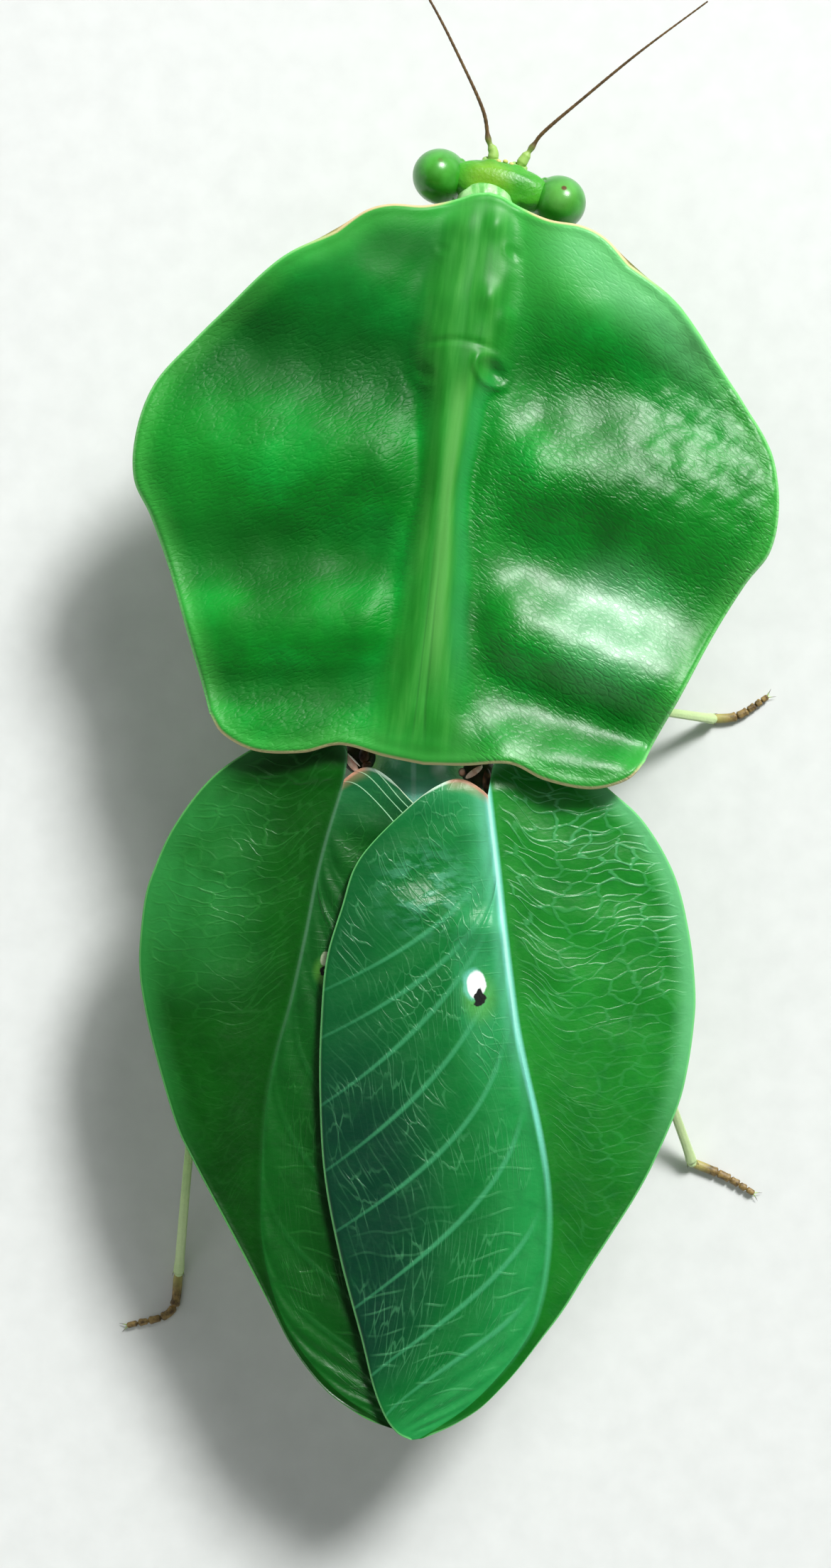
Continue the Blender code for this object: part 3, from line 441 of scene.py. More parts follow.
shield = {
    "level": 12.7, "dome": 0.004, "droop": 0.0035, "droopFrom": 20.0, "swell": 0.76,
    "thick": 0.45, "rimThick": 0.16, "rimWidth": 0.4, "columns": 190, "rows": 200, "crowd": 1.35,
    "rear": [(0.0, -0.1), (2.2, 0.1), (4.6, 0.45), (6.6, -0.2), (9.1, -0.4), (11.0, 0.3), (11.9, 1.4)],
    "side": [(11.9, 1.4), (13.25, 4.75), (14.8, 8.45), (16.3, 11.6), (17.45, 13.6), (17.6, 16.2),
             (16.9, 19.0), (15.2, 21.4), (13.6, 23.3), (10.8, 26.3), (8.0, 28.05)],
    "front": [(0.0, 31.15), (0.8, 31.0), (1.6, 30.65), (3.4, 30.0), (5.2, 29.85), (6.6, 29.3), (8.0, 28.05)],
    # crests and valleys in turn, from the rear: place beside the keel, and how it moves outward
    "rightSwells": [(0.6, 0.0), (5.4, -0.25), (8.3, -0.22), (12.8, -0.2), (16.3, -0.05), (20.5, 0.1),
                    (25.5, 0.1)],
    "leftSwells": [(0.6, 0.0), (4.6, -0.15), (7.2, -0.15), (11.9, -0.15), (16.0, -0.03), (20.6, 0.08),
                   (26.0, 0.05)],
    # the keel: place, middle, half width, rise
    "keel": [(0.0, -0.1, 3.0, 0.12), (1.2, -0.4, 2.7, 0.4), (3.2, -0.47, 2.0, 0.6), (9.4, -0.52, 1.5, 0.72),
             (15.1, -0.62, 1.05, 0.75), (19.2, -0.6, 1.3, 0.7), (22.6, -0.5, 2.15, 0.7),
             (25.0, -0.4, 2.2, 0.72), (28.6, -0.25, 1.9, 0.55), (32.0, 0.0, 1.3, 0.15)],
    # round pits and knobs: across from the keel's middle, place, radius, depth or lift
    "pits": [(1.79, 21.5, 0.5, 0.42), (-1.8, 21.0, 0.4, 0.12), (1.98, 28.0, 0.3, 0.08),
             (-1.9, 27.8, 0.28, 0.05)],
    "knobs": [(1.1, 25.4, 0.6, 0.28), (-1.3, 25.2, 0.8, 0.12), (0.8, 29.4, 0.5, 0.18), (-0.9, 29.2, 0.6, 0.1),
              (1.9, 24.3, 0.5, 0.16), (0.1, 21.6, 0.9, 0.12), (1.9, 26.8, 0.6, 0.1)],
    "furrow": 22.9, "furrowDepth": 0.11, "trench": 0.12,
    # shallow hollows: across, place, half width, half length, depth
    "hollows": [(-2.7, 18.4, 1.0, 3.4, 0.24), (-3.3, 26.0, 1.6, 2.4, 0.3), (4.0, 24.2, 1.5, 1.8, 0.2),
                (2.4, 8.6, 0.9, 2.6, 0.2), (-2.6, 6.0, 0.9, 3.0, 0.18)],
    "ripple": 0.05, "crumple": 0.055, "rimLift": 0.07, "rimFall": 0.14,
}
shieldPaint = {
    "ground": ((0.32, paint(0, 100, 18)), (0.5, paint(0, 128, 28)), (0.72, paint(0, 154, 48))),
    "olive": ((0.3, paint(20, 112, 20)), (0.5, paint(38, 132, 36)), (0.7, paint(62, 150, 54))),
    "mottle": paint(0, 98, 24), "sides": paint(30, 154, 44), "valleyShade": paint(0, 66, 8),
    "front": paint(64, 172, 70), "frontShade": paint(0, 72, 20), "paintedFrontSheen": paint(132, 212, 150),
    "ridge": paint(112, 184, 92), "tealHighlight": paint(56, 172, 104), "seam": paint(18, 84, 26),
    "edge": paint(84, 184, 80), "rim": paint(116, 206, 112), "pinkRim": paint(224, 192, 150),
    "paintedHighlight": paint(124, 206, 150), "specular": 0.24, "coatRoughness": 0.4,
}


def keelAt(y):
    return readTable(shield["keel"], y).T


def swellPhase(x, y):
    phases = []
    for key in ("leftSwells", "rightSwells"):
        lines = [place + lean * np.abs(x) for place, lean in shield[key]]
        phase = np.zeros(len(x))
        for low, high in zip(lines, lines[1:]):
            phase = phase + np.pi * np.clip((y - low) / (high - low), 0, 1)
        phases.append(phase)
    return np.where(x > 0, phases[1], phases[0])


def shieldTop(x, y):
    aside = np.abs(x)
    height = shield["level"] - shield["dome"] * x * x
    height = height - shield["droop"] * np.maximum(0.0, y - shield["droopFrom"]) ** 2
    reach = smoothStep(1.2, 4.5, aside) * (1 - 0.3 * smoothStep(11.0, 17.0, aside))
    reach = reach * np.where(x < 0, 1 - 0.55 * smoothStep(8.0, 4.5, y), 1.0)
    height = height + shield["swell"] * np.cos(swellPhase(x, y)) * reach
    ripple = np.sin(1.1 * x + 0.7 * y) * np.sin(0.8 * y - 0.5 * x)
    ripple = ripple + 0.6 * np.sin(2.1 * x - 0.6 * y + 1.0) * np.sin(1.7 * y)
    height = height + shield["ripple"] * ripple * reach
    crumple = np.sin(2.6 * x + 1.2 * y) * np.sin(2.3 * y - 1.1 * x)
    crumple = crumple + 0.5 * np.sin(4.1 * x - 1.7 * y) * np.sin(3.6 * y + 0.8)
    height = height + shield["crumple"] * crumple * smoothStep(7.5, 11.5, x) * smoothStep(13.0, 16.0, y)
    for hollowX, hollowY, wide, long, depth in shield["hollows"]:
        height = height - depth * hump(np.hypot((x - hollowX) / wide, (y - hollowY) / long), 1.0)
    middle, halfWidth, rise = keelAt(y)
    fromKeel = x - middle
    across = np.abs(fromKeel) / halfWidth
    height = height + rise * (1 - smoothStep(0.25, 1.4, across))
    trench = hump(across - 1.5, 0.4) * smoothStep(3.0, 8.0, y) * (1 - smoothStep(26, 29, y))
    height = height - shield["trench"] * trench
    rearPart = (1 - smoothStep(9.0, 17.0, y)) * smoothStep(1.2, 3.0, y)
    ribs = hump(fromKeel - 0.15, 0.1) + hump(fromKeel + 0.22, 0.08) + 0.6 * hump(across - 0.55, 0.08)
    height = height - 0.03 * rearPart * ribs
    block = smoothStep(22.6, 23.4, y) * (1 - smoothStep(29.0, 30.5, y))
    height = height + 0.07 * block * hump(across - 0.8, 0.2) - 0.03 * block * hump(fromKeel, 0.25)
    furrow = hump(y - shield["furrow"] + 0.1 * fromKeel ** 2, 0.17) * (1 - smoothStep(0.5, 1.1, across))
    height = height - shield["furrowDepth"] * furrow
    for pitX, pitY, radius, depth in shield["pits"]:
        aside, ahead = fromKeel - pitX, y - pitY
        away = np.hypot(aside + 0.35 * ahead, ahead * 1.05)
        lip = 0.15 + 0.4 * smoothStep(0.5, -0.5, aside + ahead)
        height = height - depth * hump(away, radius) + depth * lip * hump(away - radius * 1.75, radius * 0.5)
    for knobX, knobY, radius, lift in shield["knobs"]:
        away = np.hypot(fromKeel - knobX, (y - knobY) * 0.8)
        height = height + lift * hump(away, radius)
    return height


def makeShield():
    piece, u, v = gridPiece("shieldPlate", shield["columns"], shield["rows"])
    side = np.sign(u - 0.5)
    share = np.abs(2 * u - 1) ** shield["crowd"]
    rear, edge, front = [smoothCurve(shield[key]) for key in ("rear", "side", "front")]
    rearSpot, frontSpot, edgeSpot = atShare(rear, share), atShare(front, share), atShare(edge, v)
    s, t = share[:, None], v[:, None]
    middle = rear[0] * (1 - t) + front[0] * t
    corners = (rear[0] * (1 - s) + rear[-1] * s) * (1 - t) + (front[0] * (1 - s) + front[-1] * s) * t
    spot = middle * (1 - s) + edgeSpot * s + rearSpot * (1 - t) + frontSpot * t - corners
    x, y = side * spot[:, 0], spot[:, 1]
    rim = np.vstack([rear, edge[1:], front[::-1][1:]])
    away = np.full(len(x), farAway)
    for a, b in zip(rim, rim[1:]):
        run = b - a
        along = np.clip(((np.abs(x) - a[0]) * run[0] + (y - a[1]) * run[1]) / (run @ run), 0, 1)
        away = np.minimum(away, np.hypot(np.abs(x) - a[0] - along * run[0], y - a[1] - along * run[1]))
    z = shieldTop(x, y) + shield["rimLift"] * hump(away - 0.28, 0.22)
    z = z - shield["rimFall"] * (1 - smoothStep(0.0, 0.2, away))
    moveTo(piece, x, y, z)
    setValue(piece, "rim", away)
    setValue(piece, "swell", np.cos(swellPhase(x, y)))
    middle, halfWidth = keelAt(y)[:2]
    setValue(piece, "keel", (x - middle) / halfWidth)
    setMap(piece, "shieldMap", x, y)
    closeUp(piece)
    thicken(piece, shield["thick"], shield["rimThick"], ("rim", shield["rimWidth"]))
    return piece


def shieldFinish():
    tones = shieldPaint
    finish = Finish("shieldGreen", specular=tones["specular"], coatRoughness=tones["coatRoughness"])
    spot = finish.place()
    flat = finish.map("shieldMap")
    x, y = finish.part(flat, "X"), finish.part(flat, "Y")
    rim = finish.value("rim")
    across = finish.value("keel")
    onKeel = 1 - finish.band(abs(across), 0.55, 1.4)
    # the plate: patches, painted shade in the valleys, a paler front with painted sheen toward the right,
    # painted shade at the front left and painted sheen along the front right margin
    mottle = finish.noise(spot, 1.1, 4.0, 0.65)
    colour = finish.ramp(finish.noise(spot, 0.16, 4.0, 0.55), *tones["ground"])
    colour = finish.mix(finish.band(mottle, 0.35, 0.7) * 0.3, colour, tones["mottle"])
    colour = finish.mix(finish.band(abs(x), 8.0, 17.0) * 0.3, colour, tones["sides"])
    # painted shade: the swells' valleys darkened, most on the left half
    valleyShade = finish.band(finish.value("swell"), 0.3, -0.9) * finish.band(abs(x), 1.5, 4.0)
    colour = finish.mix(valleyShade * (finish.band(x, 1.0, -2.0) * 0.26 + 0.24), colour, tones["valleyShade"])
    # a paler front, with painted sheen that grows toward the right
    paleFrontAndSheen = finish.band(y, 23.0, 28.5) * (finish.band(x, -4.0, 6.0) * 0.5 + 0.2)
    colour = finish.mix(paleFrontAndSheen, colour, tones["front"])
    frontShade = finish.band(x, 0.0, -3.0) * finish.band(y, 15.0, 21.0) * finish.band(rim, 0.4, 2.0)
    colour = finish.mix(frontShade * 0.42, colour, tones["frontShade"])
    # painted sheen along the right front margin
    paintedFrontSheen = finish.band(x, 2.0, 6.0) * finish.band(y, 20.0, 26.0) * (1 - finish.band(rim, 0.5, 4.0))
    colour = finish.mix(paintedFrontSheen * 0.5, colour, tones["paintedFrontSheen"])
    # the keel: olive streaks, a painted highlight along the ridge and a painted bluish highlight on the right
    # flank, and two dark seams at the rear
    streaks = finish.noise(finish.stretched(flat, 1.6, 0.14, 1.0), 1.0, 3.0, 0.6)
    olive = finish.ramp(streaks, *tones["olive"])
    colour = finish.mix(onKeel * finish.band(y, -1.0, 2.5) * 0.75, colour, olive)
    # painted highlight along the keel's ridge
    ridge = finish.band(abs(across - 0.2), 0.5, 0.05) * finish.band(y, 3.0, 8.0) * finish.band(y, 22.0, 19.0)
    colour = finish.mix(ridge * 0.4, colour, tones["ridge"])
    # painted bluish highlight on the keel's right flank
    tealHighlight = finish.band(abs(across - 0.95), 0.5, 0.05) * finish.band(y, 2.0, 8.0) * finish.band(y, 23.0, 19.0)
    colour = finish.mix(tealHighlight * 0.26, colour, tones["tealHighlight"])
    seams = finish.hairline(across, 0.1, 0.05) + finish.hairline(across, -0.14, 0.035)
    rearPart = finish.band(y, 13.0, 7.0) * finish.band(y, 0.6, 2.4)
    colour = finish.mix(seams * rearPart * 0.3, colour, tones["seam"])
    # the margin, pinkish at the front and the rear
    colour = finish.mix((1 - finish.band(rim, 0.1, 1.6)) * 0.3, colour, tones["edge"])
    pink = finish.band(y, 26.4, 28.6) * finish.band(abs(x), 1.6, 3.0) + finish.band(y, 1.6, 0.6) * 0.9
    rimColour = finish.mix(pink, tones["rim"], tones["pinkRim"])
    colour = finish.mix((1 - finish.band(rim, 0.05, 0.2)) * 0.85, colour, rimColour)
    # fine leathery wrinkles that run outward and to the rear
    quiet = 1 - onKeel * 0.9
    raked = finish.flatSpot(x * 0.62, (y + abs(x) * 0.45) * 1.15)
    wrinkle = finish.band(finish.cells(finish.wander(raked, 1.1, 0.6), 1.9, flat=True), 0.0, 0.2)
    fine = finish.band(finish.cells(finish.wander(raked, 2.6, 0.35), 3.4, flat=True), 0.0, 0.25)
    fold = finish.noise(finish.stretched(spot, 0.6, 1.4, 0.6), 0.6, 2.0, 0.5)
    lively = finish.band(finish.noise(spot, 0.2, 2.0), 0.35, 0.65) * 0.45 + 0.3
    lively = (lively + finish.band(x, -3.0, 4.0) * 0.35) * (1 - finish.band(y, 21.0, 26.0) * 0.7)
    height = (wrinkle * 0.6 + fine * 0.5) * quiet * lively + fold * 0.4 * quiet
    # the soft gloss, strongest on the right half's rear crest
    outerRear = finish.band(x, 12.0, 15.5) * finish.band(y, 13.0, 10.0)
    hot = finish.near(spot, "front", (9.4, 8.6, 12.7), 1.0, 5.0)
    sheen = finish.band(x, -1.0, 2.5) * finish.band(y, 30.0, 24.0) * (1 - outerRear * 0.9)
    sheen = sheen * (0.55 - finish.band(y, 12.0, 16.0) * 0.2) + hot * 0.45
    rough = finish.band(finish.noise(spot, 0.8), 0.2, 0.8) * 0.06 + 0.35 + onKeel * 0.06
    rough = rough + finish.band(x, 0.5, -1.6) * 0.1 + outerRear * 0.14 - hot * 0.06
    # painted highlight: the colour paled at the right half's rear crest
    colour = finish.mix(hot * 0.3, colour, tones["paintedHighlight"])
    return finish.wear(colour=colour, roughness=rough, coatWeight=sheen, normal=finish.bump(height, 0.032, 0.9))


setInPlace(makeShield(), "front", shieldFinish(), "shield_green", "shield")
print("shield made")


# Forewings

wing = {
    "level": 11.6, "arch": 0.008, "fall": 1.2, "length": 37.0, "top": 0.25,
    "part": 0.3, "partStart": 0.4, "partFull": 1.6, "partEdges": (8.0, 12.0),
    "thick": 0.24, "rimThick": 0.1, "rimWidth": 0.25, "perRow": 18, "inner": 76, "outer": 62, "crowd": 1.15,
    "halfVein": 0.36, "mainTip": 0.04, "rootArch": 0.68, "rootGap": 0.45, "halfBranch": 0.16,
    "branchRise": 0.03,
    # rows: place on the main vein, place on the inner margin, share along the outer margin, bend
    "branches": [(-3.6, -12.4, 0.115, 1.9), (-5.2, -15.0, 0.18, 1.9), (-6.3, -18.7, 0.224, 1.6),
                 (-9.4, -22.3, 0.325, 1.5), (-11.4, -25.6, 0.378, 1.9), (-15.5, -29.8, 0.48, 1.9),
                 (-22.0, -33.5, 0.64, 1.9), (-26.9, -35.7, 0.757, 1.9)],
    "tip": [(-30.4, -36.4, 0.845, 1.9), (-33.4, -36.75, 0.92, 1.8), (-35.5, -36.9, 0.965, 1.6),
            (-37.0, -36.97, 1.0, 1.4)],
    "billow": 0.05, "dentDepth": 0.42, "dentSize": 1.9, "ripple": 0.05, "marginRise": 0.05,
    "markHeight": 11.7, "markShape": (1.0, 0.72, 0.2),
}
rightWing = {
    "side": 1, "veinRise": 0.2,
    "root": [(-1.75, -1.35, 0.0, 1.1), (-2.3, -3.8, 0.055, 1.35), (-2.9, -7.8, 0.09, 1.7)],
    "innerMargin": [(1.5, -0.85), (0.85, -1.3), (-0.35, -2.2), (-2.43, -4.2), (-3.55, -5.74), (-4.2, -7.8),
                    (-5.04, -10.65), (-5.35, -14.0), (-5.43, -17.6), (-5.19, -22.3), (-4.37, -26.8),
                    (-3.14, -31.5), (-2.53, -34.0), (-1.9, -35.65), (-1.2, -36.6), (-0.45, -36.97)],
    "mainVein": [(3.6, -0.9), (3.71, -1.54), (3.92, -3.28), (4.22, -5.74), (4.53, -8.6), (4.88, -11.46),
                 (5.25, -14.1), (5.76, -16.6), (6.37, -19.2), (6.78, -21.3), (7.05, -23.3), (7.13, -25.4),
                 (6.99, -27.4), (6.68, -29.3), (6.06, -31.1), (4.63, -33.15), (2.59, -35.2), (0.0, -36.9)],
    "outerMargin": [(4.0, -0.2), (4.6, 0.5), (6.5, 0.95), (8.4, 0.55), (10.2, -1.25), (12.3, -3.2),
                    (14.0, -6.1), (14.86, -9.42), (15.19, -12.5), (15.1, -14.5), (14.76, -16.8),
                    (14.25, -18.8), (13.0, -21.7), (11.9, -23.74), (10.56, -25.8), (9.23, -27.8),
                    (7.9, -29.9), (6.68, -31.5), (5.55, -32.95), (4.63, -34.0), (3.4, -35.2),
                    (2.17, -36.0), (1.15, -36.5), (0.2, -36.88)],
    "whiteMark": (3.1, -12.05), "darkMark": (3.3, -12.75), "markSize": 1.0,
    "dent": (1.1, -5.8), "creases": [(3.2, -9.0, 0.9, 0.42), (-0.2, -7.8, 0.8, 0.24)],
}
leftWing = {
    "side": -1, "veinRise": 0.04,
    "root": [(-0.9, -0.9, 0.0, 1.1), (-1.7, -3.4, 0.055, 1.35), (-2.6, -7.6, 0.09, 1.7)],
    "innerMargin": [(2.6, -0.31), (1.85, -0.62), (1.16, -1.27), (0.31, -2.16), (-1.6, -4.0), (-3.6, -6.9),
                    (-4.9, -11.4), (-5.2, -18.5), (-4.7, -24.5), (-3.0, -30.8), (-1.5, -35.0), (-0.5, -36.2)],
    "mainVein": [(3.95, -0.2), (4.17, -1.24), (4.98, -3.9), (5.6, -6.35), (6.2, -9.42), (7.03, -13.1),
                 (7.85, -16.0), (8.4, -19.0), (8.67, -23.7), (8.45, -27.2), (7.2, -31.0), (4.6, -34.3),
                 (1.2, -36.5)],
    "outerMargin": [(3.9, 0.1), (4.0, 1.0), (4.9, 1.65), (6.4, 1.75), (8.6, 1.05), (11.3, -0.75), (13.4, -3.4),
                    (14.6, -5.94), (15.05, -7.4), (15.31, -9.42), (15.38, -11.05), (15.21, -12.7),
                    (14.6, -15.55), (13.4, -19.65), (12.45, -21.7), (10.26, -25.8), (8.09, -29.9),
                    (7.03, -31.9), (6.0, -33.35), (4.98, -34.5), (3.75, -35.4), (2.73, -36.0), (1.3, -36.5)],
    "whiteMark": (5.12, -10.65), "darkMark": (5.25, -11.35), "markSize": 0.55,
    "dent": (1.5, -6.0), "creases": [],
}


def wingMiddle(x, y, side):
    fall = wing["fall"] * (np.maximum(0.0, -y) / wing["length"]) ** 1.5
    apart = 1 - smoothStep(*wing["partEdges"], np.abs(x))
    apart = apart * smoothStep(wing["partStart"], wing["partFull"], -y)
    return wing["level"] - wing["arch"] * x * x - fall + side * wing["part"] * apart


def makeWing(name, build):
    side = build["side"]
    table = np.array(build["root"] + wing["branches"] + wing["tip"])
    spans = len(table) - 1
    piece, u, v = gridPiece(name, wing["inner"] + wing["outer"], spans * wing["perRow"])
    rowSpot = v * spans
    smooth = smoothCurve(table, 12)
    knots = np.linspace(0, spans, len(smooth))
    innerMargin, mainVein, outerMargin = [
        smoothCurve(build[key]) for key in ("innerMargin", "mainVein", "outerMargin")]
    smooth[:, 0] = np.maximum(smooth[:, 0], mainVein[-1, 1])
    smooth[:, 1] = np.maximum(smooth[:, 1], innerMargin[-1, 1])
    veinY, innerY, share = [np.interp(rowSpot, knots, smooth[:, axis]) for axis in range(3)]
    border = wing["inner"] / (wing["inner"] + wing["outer"])
    inside = u <= border + 1e-6
    t = np.where(inside, 1 - u / border, (u - border) / (1 - border)) ** wing["crowd"]
    innerX = xAt(innerMargin, innerY)

    def innerSpot(t, rowSpot):          # a place in the field inside the main vein
        first, last, bend = [np.interp(rowSpot, knots, smooth[:, axis]) for axis in (0, 1, 3)]
        down = first + (last - first) * t
        down = down + wing["rootArch"] * np.sin(np.pi * t) * (1 - smoothStep(0.0, 1.4, rowSpot))
        acrossVein = xAt(mainVein, down)
        return np.stack([acrossVein + (xAt(innerMargin, last) - acrossVein) * t ** bend, down])

    x, y = innerSpot(t, rowSpot)
    step = 0.01
    downRow = (innerSpot(t, rowSpot + step) - innerSpot(t, rowSpot - step)) / (2 * step)
    alongRow = (innerSpot(t + step, rowSpot) - innerSpot(np.maximum(t - step, 0), rowSpot)) / (2 * step)
    crossed = np.abs(downRow[0] * alongRow[1] - downRow[1] * alongRow[0])
    rowGap = crossed / np.maximum(np.hypot(*alongRow), 0.001)
    outer = atShare(outerMargin, np.clip(share, 0, 1))
    startX = xAt(mainVein, veinY)
    x = np.where(inside, x, startX + (outer[:, 0] - startX) * t)
    y = np.where(inside, y, veinY + (outer[:, 1] - veinY) * t)
    fromVein = np.where(inside, np.hypot(x - startX, y - veinY), -np.hypot(x - startX, y - veinY))
    rowLength = np.where(inside, np.hypot(innerX - startX, innerY - veinY),
                         np.hypot(outer[:, 0] - startX, outer[:, 1] - veinY))
    nearRow = np.clip(np.round(rowSpot), len(build["root"]), len(build["root"]) + len(wing["branches"]) - 1)
    fromBranch = np.abs(rowSpot - nearRow) * rowGap
    straight = np.abs(x - xAt(mainVein, y))
    along = np.clip(-y / wing["length"], 0, 1)
    toEdge = np.abs(fromVein - np.where(inside, rowLength, -rowLength))
    rise = build["veinRise"] + (wing["mainTip"] - build["veinRise"]) * along
    z = wingMiddle(x, y, side) + wing["top"]
    z = z + rise * hump(straight, wing["halfVein"])
    branch = np.where(inside, hump(fromBranch, wing["halfBranch"]), 0)
    branch = branch * smoothStep(0.1, 1.2, np.abs(fromVein))
    z = z + wing["branchRise"] * branch * smoothStep(0.0, 0.8, toEdge)
    billow = np.where(inside, -np.cos(2 * np.pi * rowSpot), np.sin(1.3 * x + 0.4 * y) * np.sin(0.7 * y))
    billow = wing["billow"] * billow * smoothStep(0.3, 2.0, np.abs(fromVein))
    z = z + billow * smoothStep(0.0, 1.5, toEdge)
    fromDent = np.hypot(x - build["dent"][0], (y - build["dent"][1]) * 0.8)
    z = z - wing["dentDepth"] * hump(fromDent, wing["dentSize"])
    for creaseX, creaseY, size, lift in build["creases"]:
        z = z + lift * np.where(inside, hump(np.hypot((x - creaseX) * 0.6, y - creaseY), size), 0)
    costal = np.where(inside, 0, 1)
    ripple = np.sin(1.9 * y + 0.55 * x + 0.5 * np.sin(0.9 * x)) * smoothStep(-20.0, -9.0, y)
    ripple = ripple * smoothStep(0.4, 1.6, np.abs(fromVein)) * smoothStep(0.2, 2.0, toEdge)
    z = z + costal * (wing["ripple"] * ripple + wing["marginRise"] * hump(toEdge - 0.1, 0.16))
    moveTo(piece, side * x, y, z)
    setValue(piece, "mainVein", straight)
    setValue(piece, "branchVein", np.where(inside, fromBranch, farAway))
    setValue(piece, "fromVein", fromVein)
    setValue(piece, "edge", toEdge)
    setValue(piece, "root", np.where(inside, rowSpot * np.maximum(rowGap, wing["rootGap"]), farAway))
    setMap(piece, "veinMap", fromVein, rowSpot)
    closeUp(piece)
    thicken(piece, wing["thick"], wing["rimThick"], ("edge", wing["rimWidth"]))
    return piece


wingPaint = {
    "right": {
        "deep": paint(0, 84, 36), "petrol": paint(0, 50, 34), "mid": paint(2, 110, 42),
        "light": paint(32, 150, 72), "wedge": paint(50, 152, 96),
        "outerDeep": paint(0, 84, 6), "outerLight": paint(20, 130, 34),
        "vein": paint(124, 216, 196), "branch": paint(64, 160, 106), "net": paint(92, 184, 122),
        "rim": paint(112, 200, 116), "white": paint(250, 254, 252), "glow": paint(116, 204, 140),
        "soft": paint(104, 206, 160), "pinkFrom": 1.7, "mainShare": 0.9, "branchShare": 0.82, "netShare": 0.39,
        "glowShare": 0.6, "analShare": 0.0, "shineShare": 1.0,
    },
    # the left wing: besides its own lines at the base, darker tones and fainter veins and marks, painted shade
    # for the side away from the light
    "left": {
        "deep": paint(0, 44, 6), "petrol": paint(0, 36, 14), "mid": paint(0, 68, 8),
        "light": paint(4, 92, 20), "wedge": paint(4, 78, 20),
        "outerDeep": paint(0, 42, 0), "outerLight": paint(0, 84, 4),
        "vein": paint(56, 132, 70), "branch": paint(20, 100, 38), "net": paint(48, 136, 54),
        "rim": paint(96, 178, 92), "white": paint(160, 176, 140), "glow": paint(40, 132, 56),
        "soft": paint(20, 104, 44), "pinkFrom": 2.9, "mainShare": 0.12, "branchShare": 0.35, "netShare": 0.26,
        "glowShare": 0.5, "analShare": 0.8, "shineShare": 0.0,
    },
    "both": {
        "upper": paint(50, 150, 104), "sheen": paint(44, 150, 66), "shine": paint(112, 196, 166),
        "core": paint(206, 250, 234), "anal": paint(170, 232, 180), "root": paint(196, 226, 202),
        "pinkRoot": paint(218, 156, 130), "blush": paint(196, 144, 112), "paleMargin": paint(206, 228, 196),
        "darkHalo": paint(116, 190, 70), "dark": paint(4, 8, 6), "specular": 0.45,
        # fine lines at the wing's base: millimetres from the inner margin, width
        "analLines": ((0.95, 0.085), (1.85, 0.075), (3.1, 0.075)),
    },
}


def wingMark(finish, spot, build, key, low, high):      # 1 inside one of a wing's two marks
    place = worldSpot("whole", build["side"] * build[key][0], build[key][1], wing["markHeight"])
    centre = [value * size for value, size in zip(place, wing["markShape"])]
    away = finish.awayFrom(finish.stretched(spot, *wing["markShape"]), centre)
    return 1 - finish.band(away, low * build["markSize"], high * build["markSize"])


def wingGround(finish, tones, spot, y, beside, inField):
    patches = finish.noise(spot, 0.2, 4.0, 0.6)
    mottle = finish.noise(spot, 0.9, 4.0, 0.6)
    deeper = finish.band(beside, 2.0, 9.5) * 0.75 + finish.band(patches, 0.4, 0.65) * 0.25
    inner = finish.mix(deeper, tones["mid"], tones["deep"])
    bluish = finish.band(y, -15.0, -25.0) * finish.band(beside, 4.0, 9.0) * 0.9
    inner = finish.mix(bluish, inner, tones["petrol"])
    inner = finish.mix((1 - finish.band(beside, 0.6, 4.2)) * 0.7, inner, tones["light"])
    wedge = finish.band(beside + finish.band(y, -5.0, -16.0) * -2.9, 0.5, -0.3) * finish.band(y, -23.0, -17.0)
    inner = finish.mix(wedge * 0.45, inner, tones["wedge"])
    darker = finish.band(patches, 0.3, 0.7) * 0.4 + finish.band(y, -14.0, -36.0) * 0.5
    outer = finish.mix(darker, tones["outerLight"], tones["outerDeep"])
    colour = finish.mix(inField, outer, inner)
    colour = finish.mix(finish.band(mottle, 0.45, 0.7) * 0.22, colour, tones["deep"])
    colour = finish.mix(inField * finish.band(y, -9.0, -2.0) * 0.5, colour, tones["upper"])
    # painted sheen on the left wing's outer field, in its front half
    sheen = finish.band(finish.part(spot, "X"), -8.5, -14.0) * finish.band(y, -19.0, -11.0)
    sheen = sheen * finish.band(y, -4.0, -7.5) * (finish.band(patches, 0.3, 0.6) * 0.4 + 0.25)
    return finish.mix(sheen * (1 - inField), colour, tones["sheen"])


def innerVeins(finish, y, row, fromVein, beside, faint, lowRows):
    # slanted rungs in a web, ticks beside the main vein, and arches toward the tip
    own = finish.whole(row)
    rungs = finish.strokes(fromVein * 2.1 + own * 0.37 + row * 0.35, row * 1.3, 0.13, (0.44, 0.56))
    rungs = rungs * (faint * 0.4 + 0.3) * (1 - lowRows * 0.85) * finish.band(beside, 0.9, 2.4)
    web = finish.web(fromVein * 1.9, row * 2.0, 0.9, 0.085)
    web = web * (faint * 0.75 + 0.08) * finish.band(beside, 0.4, 1.4)
    ticks = finish.strokes(y * 2.8 + beside * 0.3, beside * 0.8, 0.16) * finish.band(beside, 0.25, 0.5)
    ticks = ticks * finish.band(beside, 2.6, 1.4) * finish.band(y, -24.0, -18.0) * finish.band(y, -4.5, -7.5)
    arches = finish.strokes((y + beside * 0.18) * 0.9, beside * 0.55, 0.09, (0.44, 0.54))
    uprights = finish.strokes(fromVein * 0.8 + own * 0.4, row * 2.4, 0.08, (0.5, 0.6))
    low = (arches * 0.55 + uprights * 0.2) * lowRows * finish.band(beside, 0.3, 1.2)
    return rungs * 0.5 + web * 0.6 + ticks * 0.25 + low


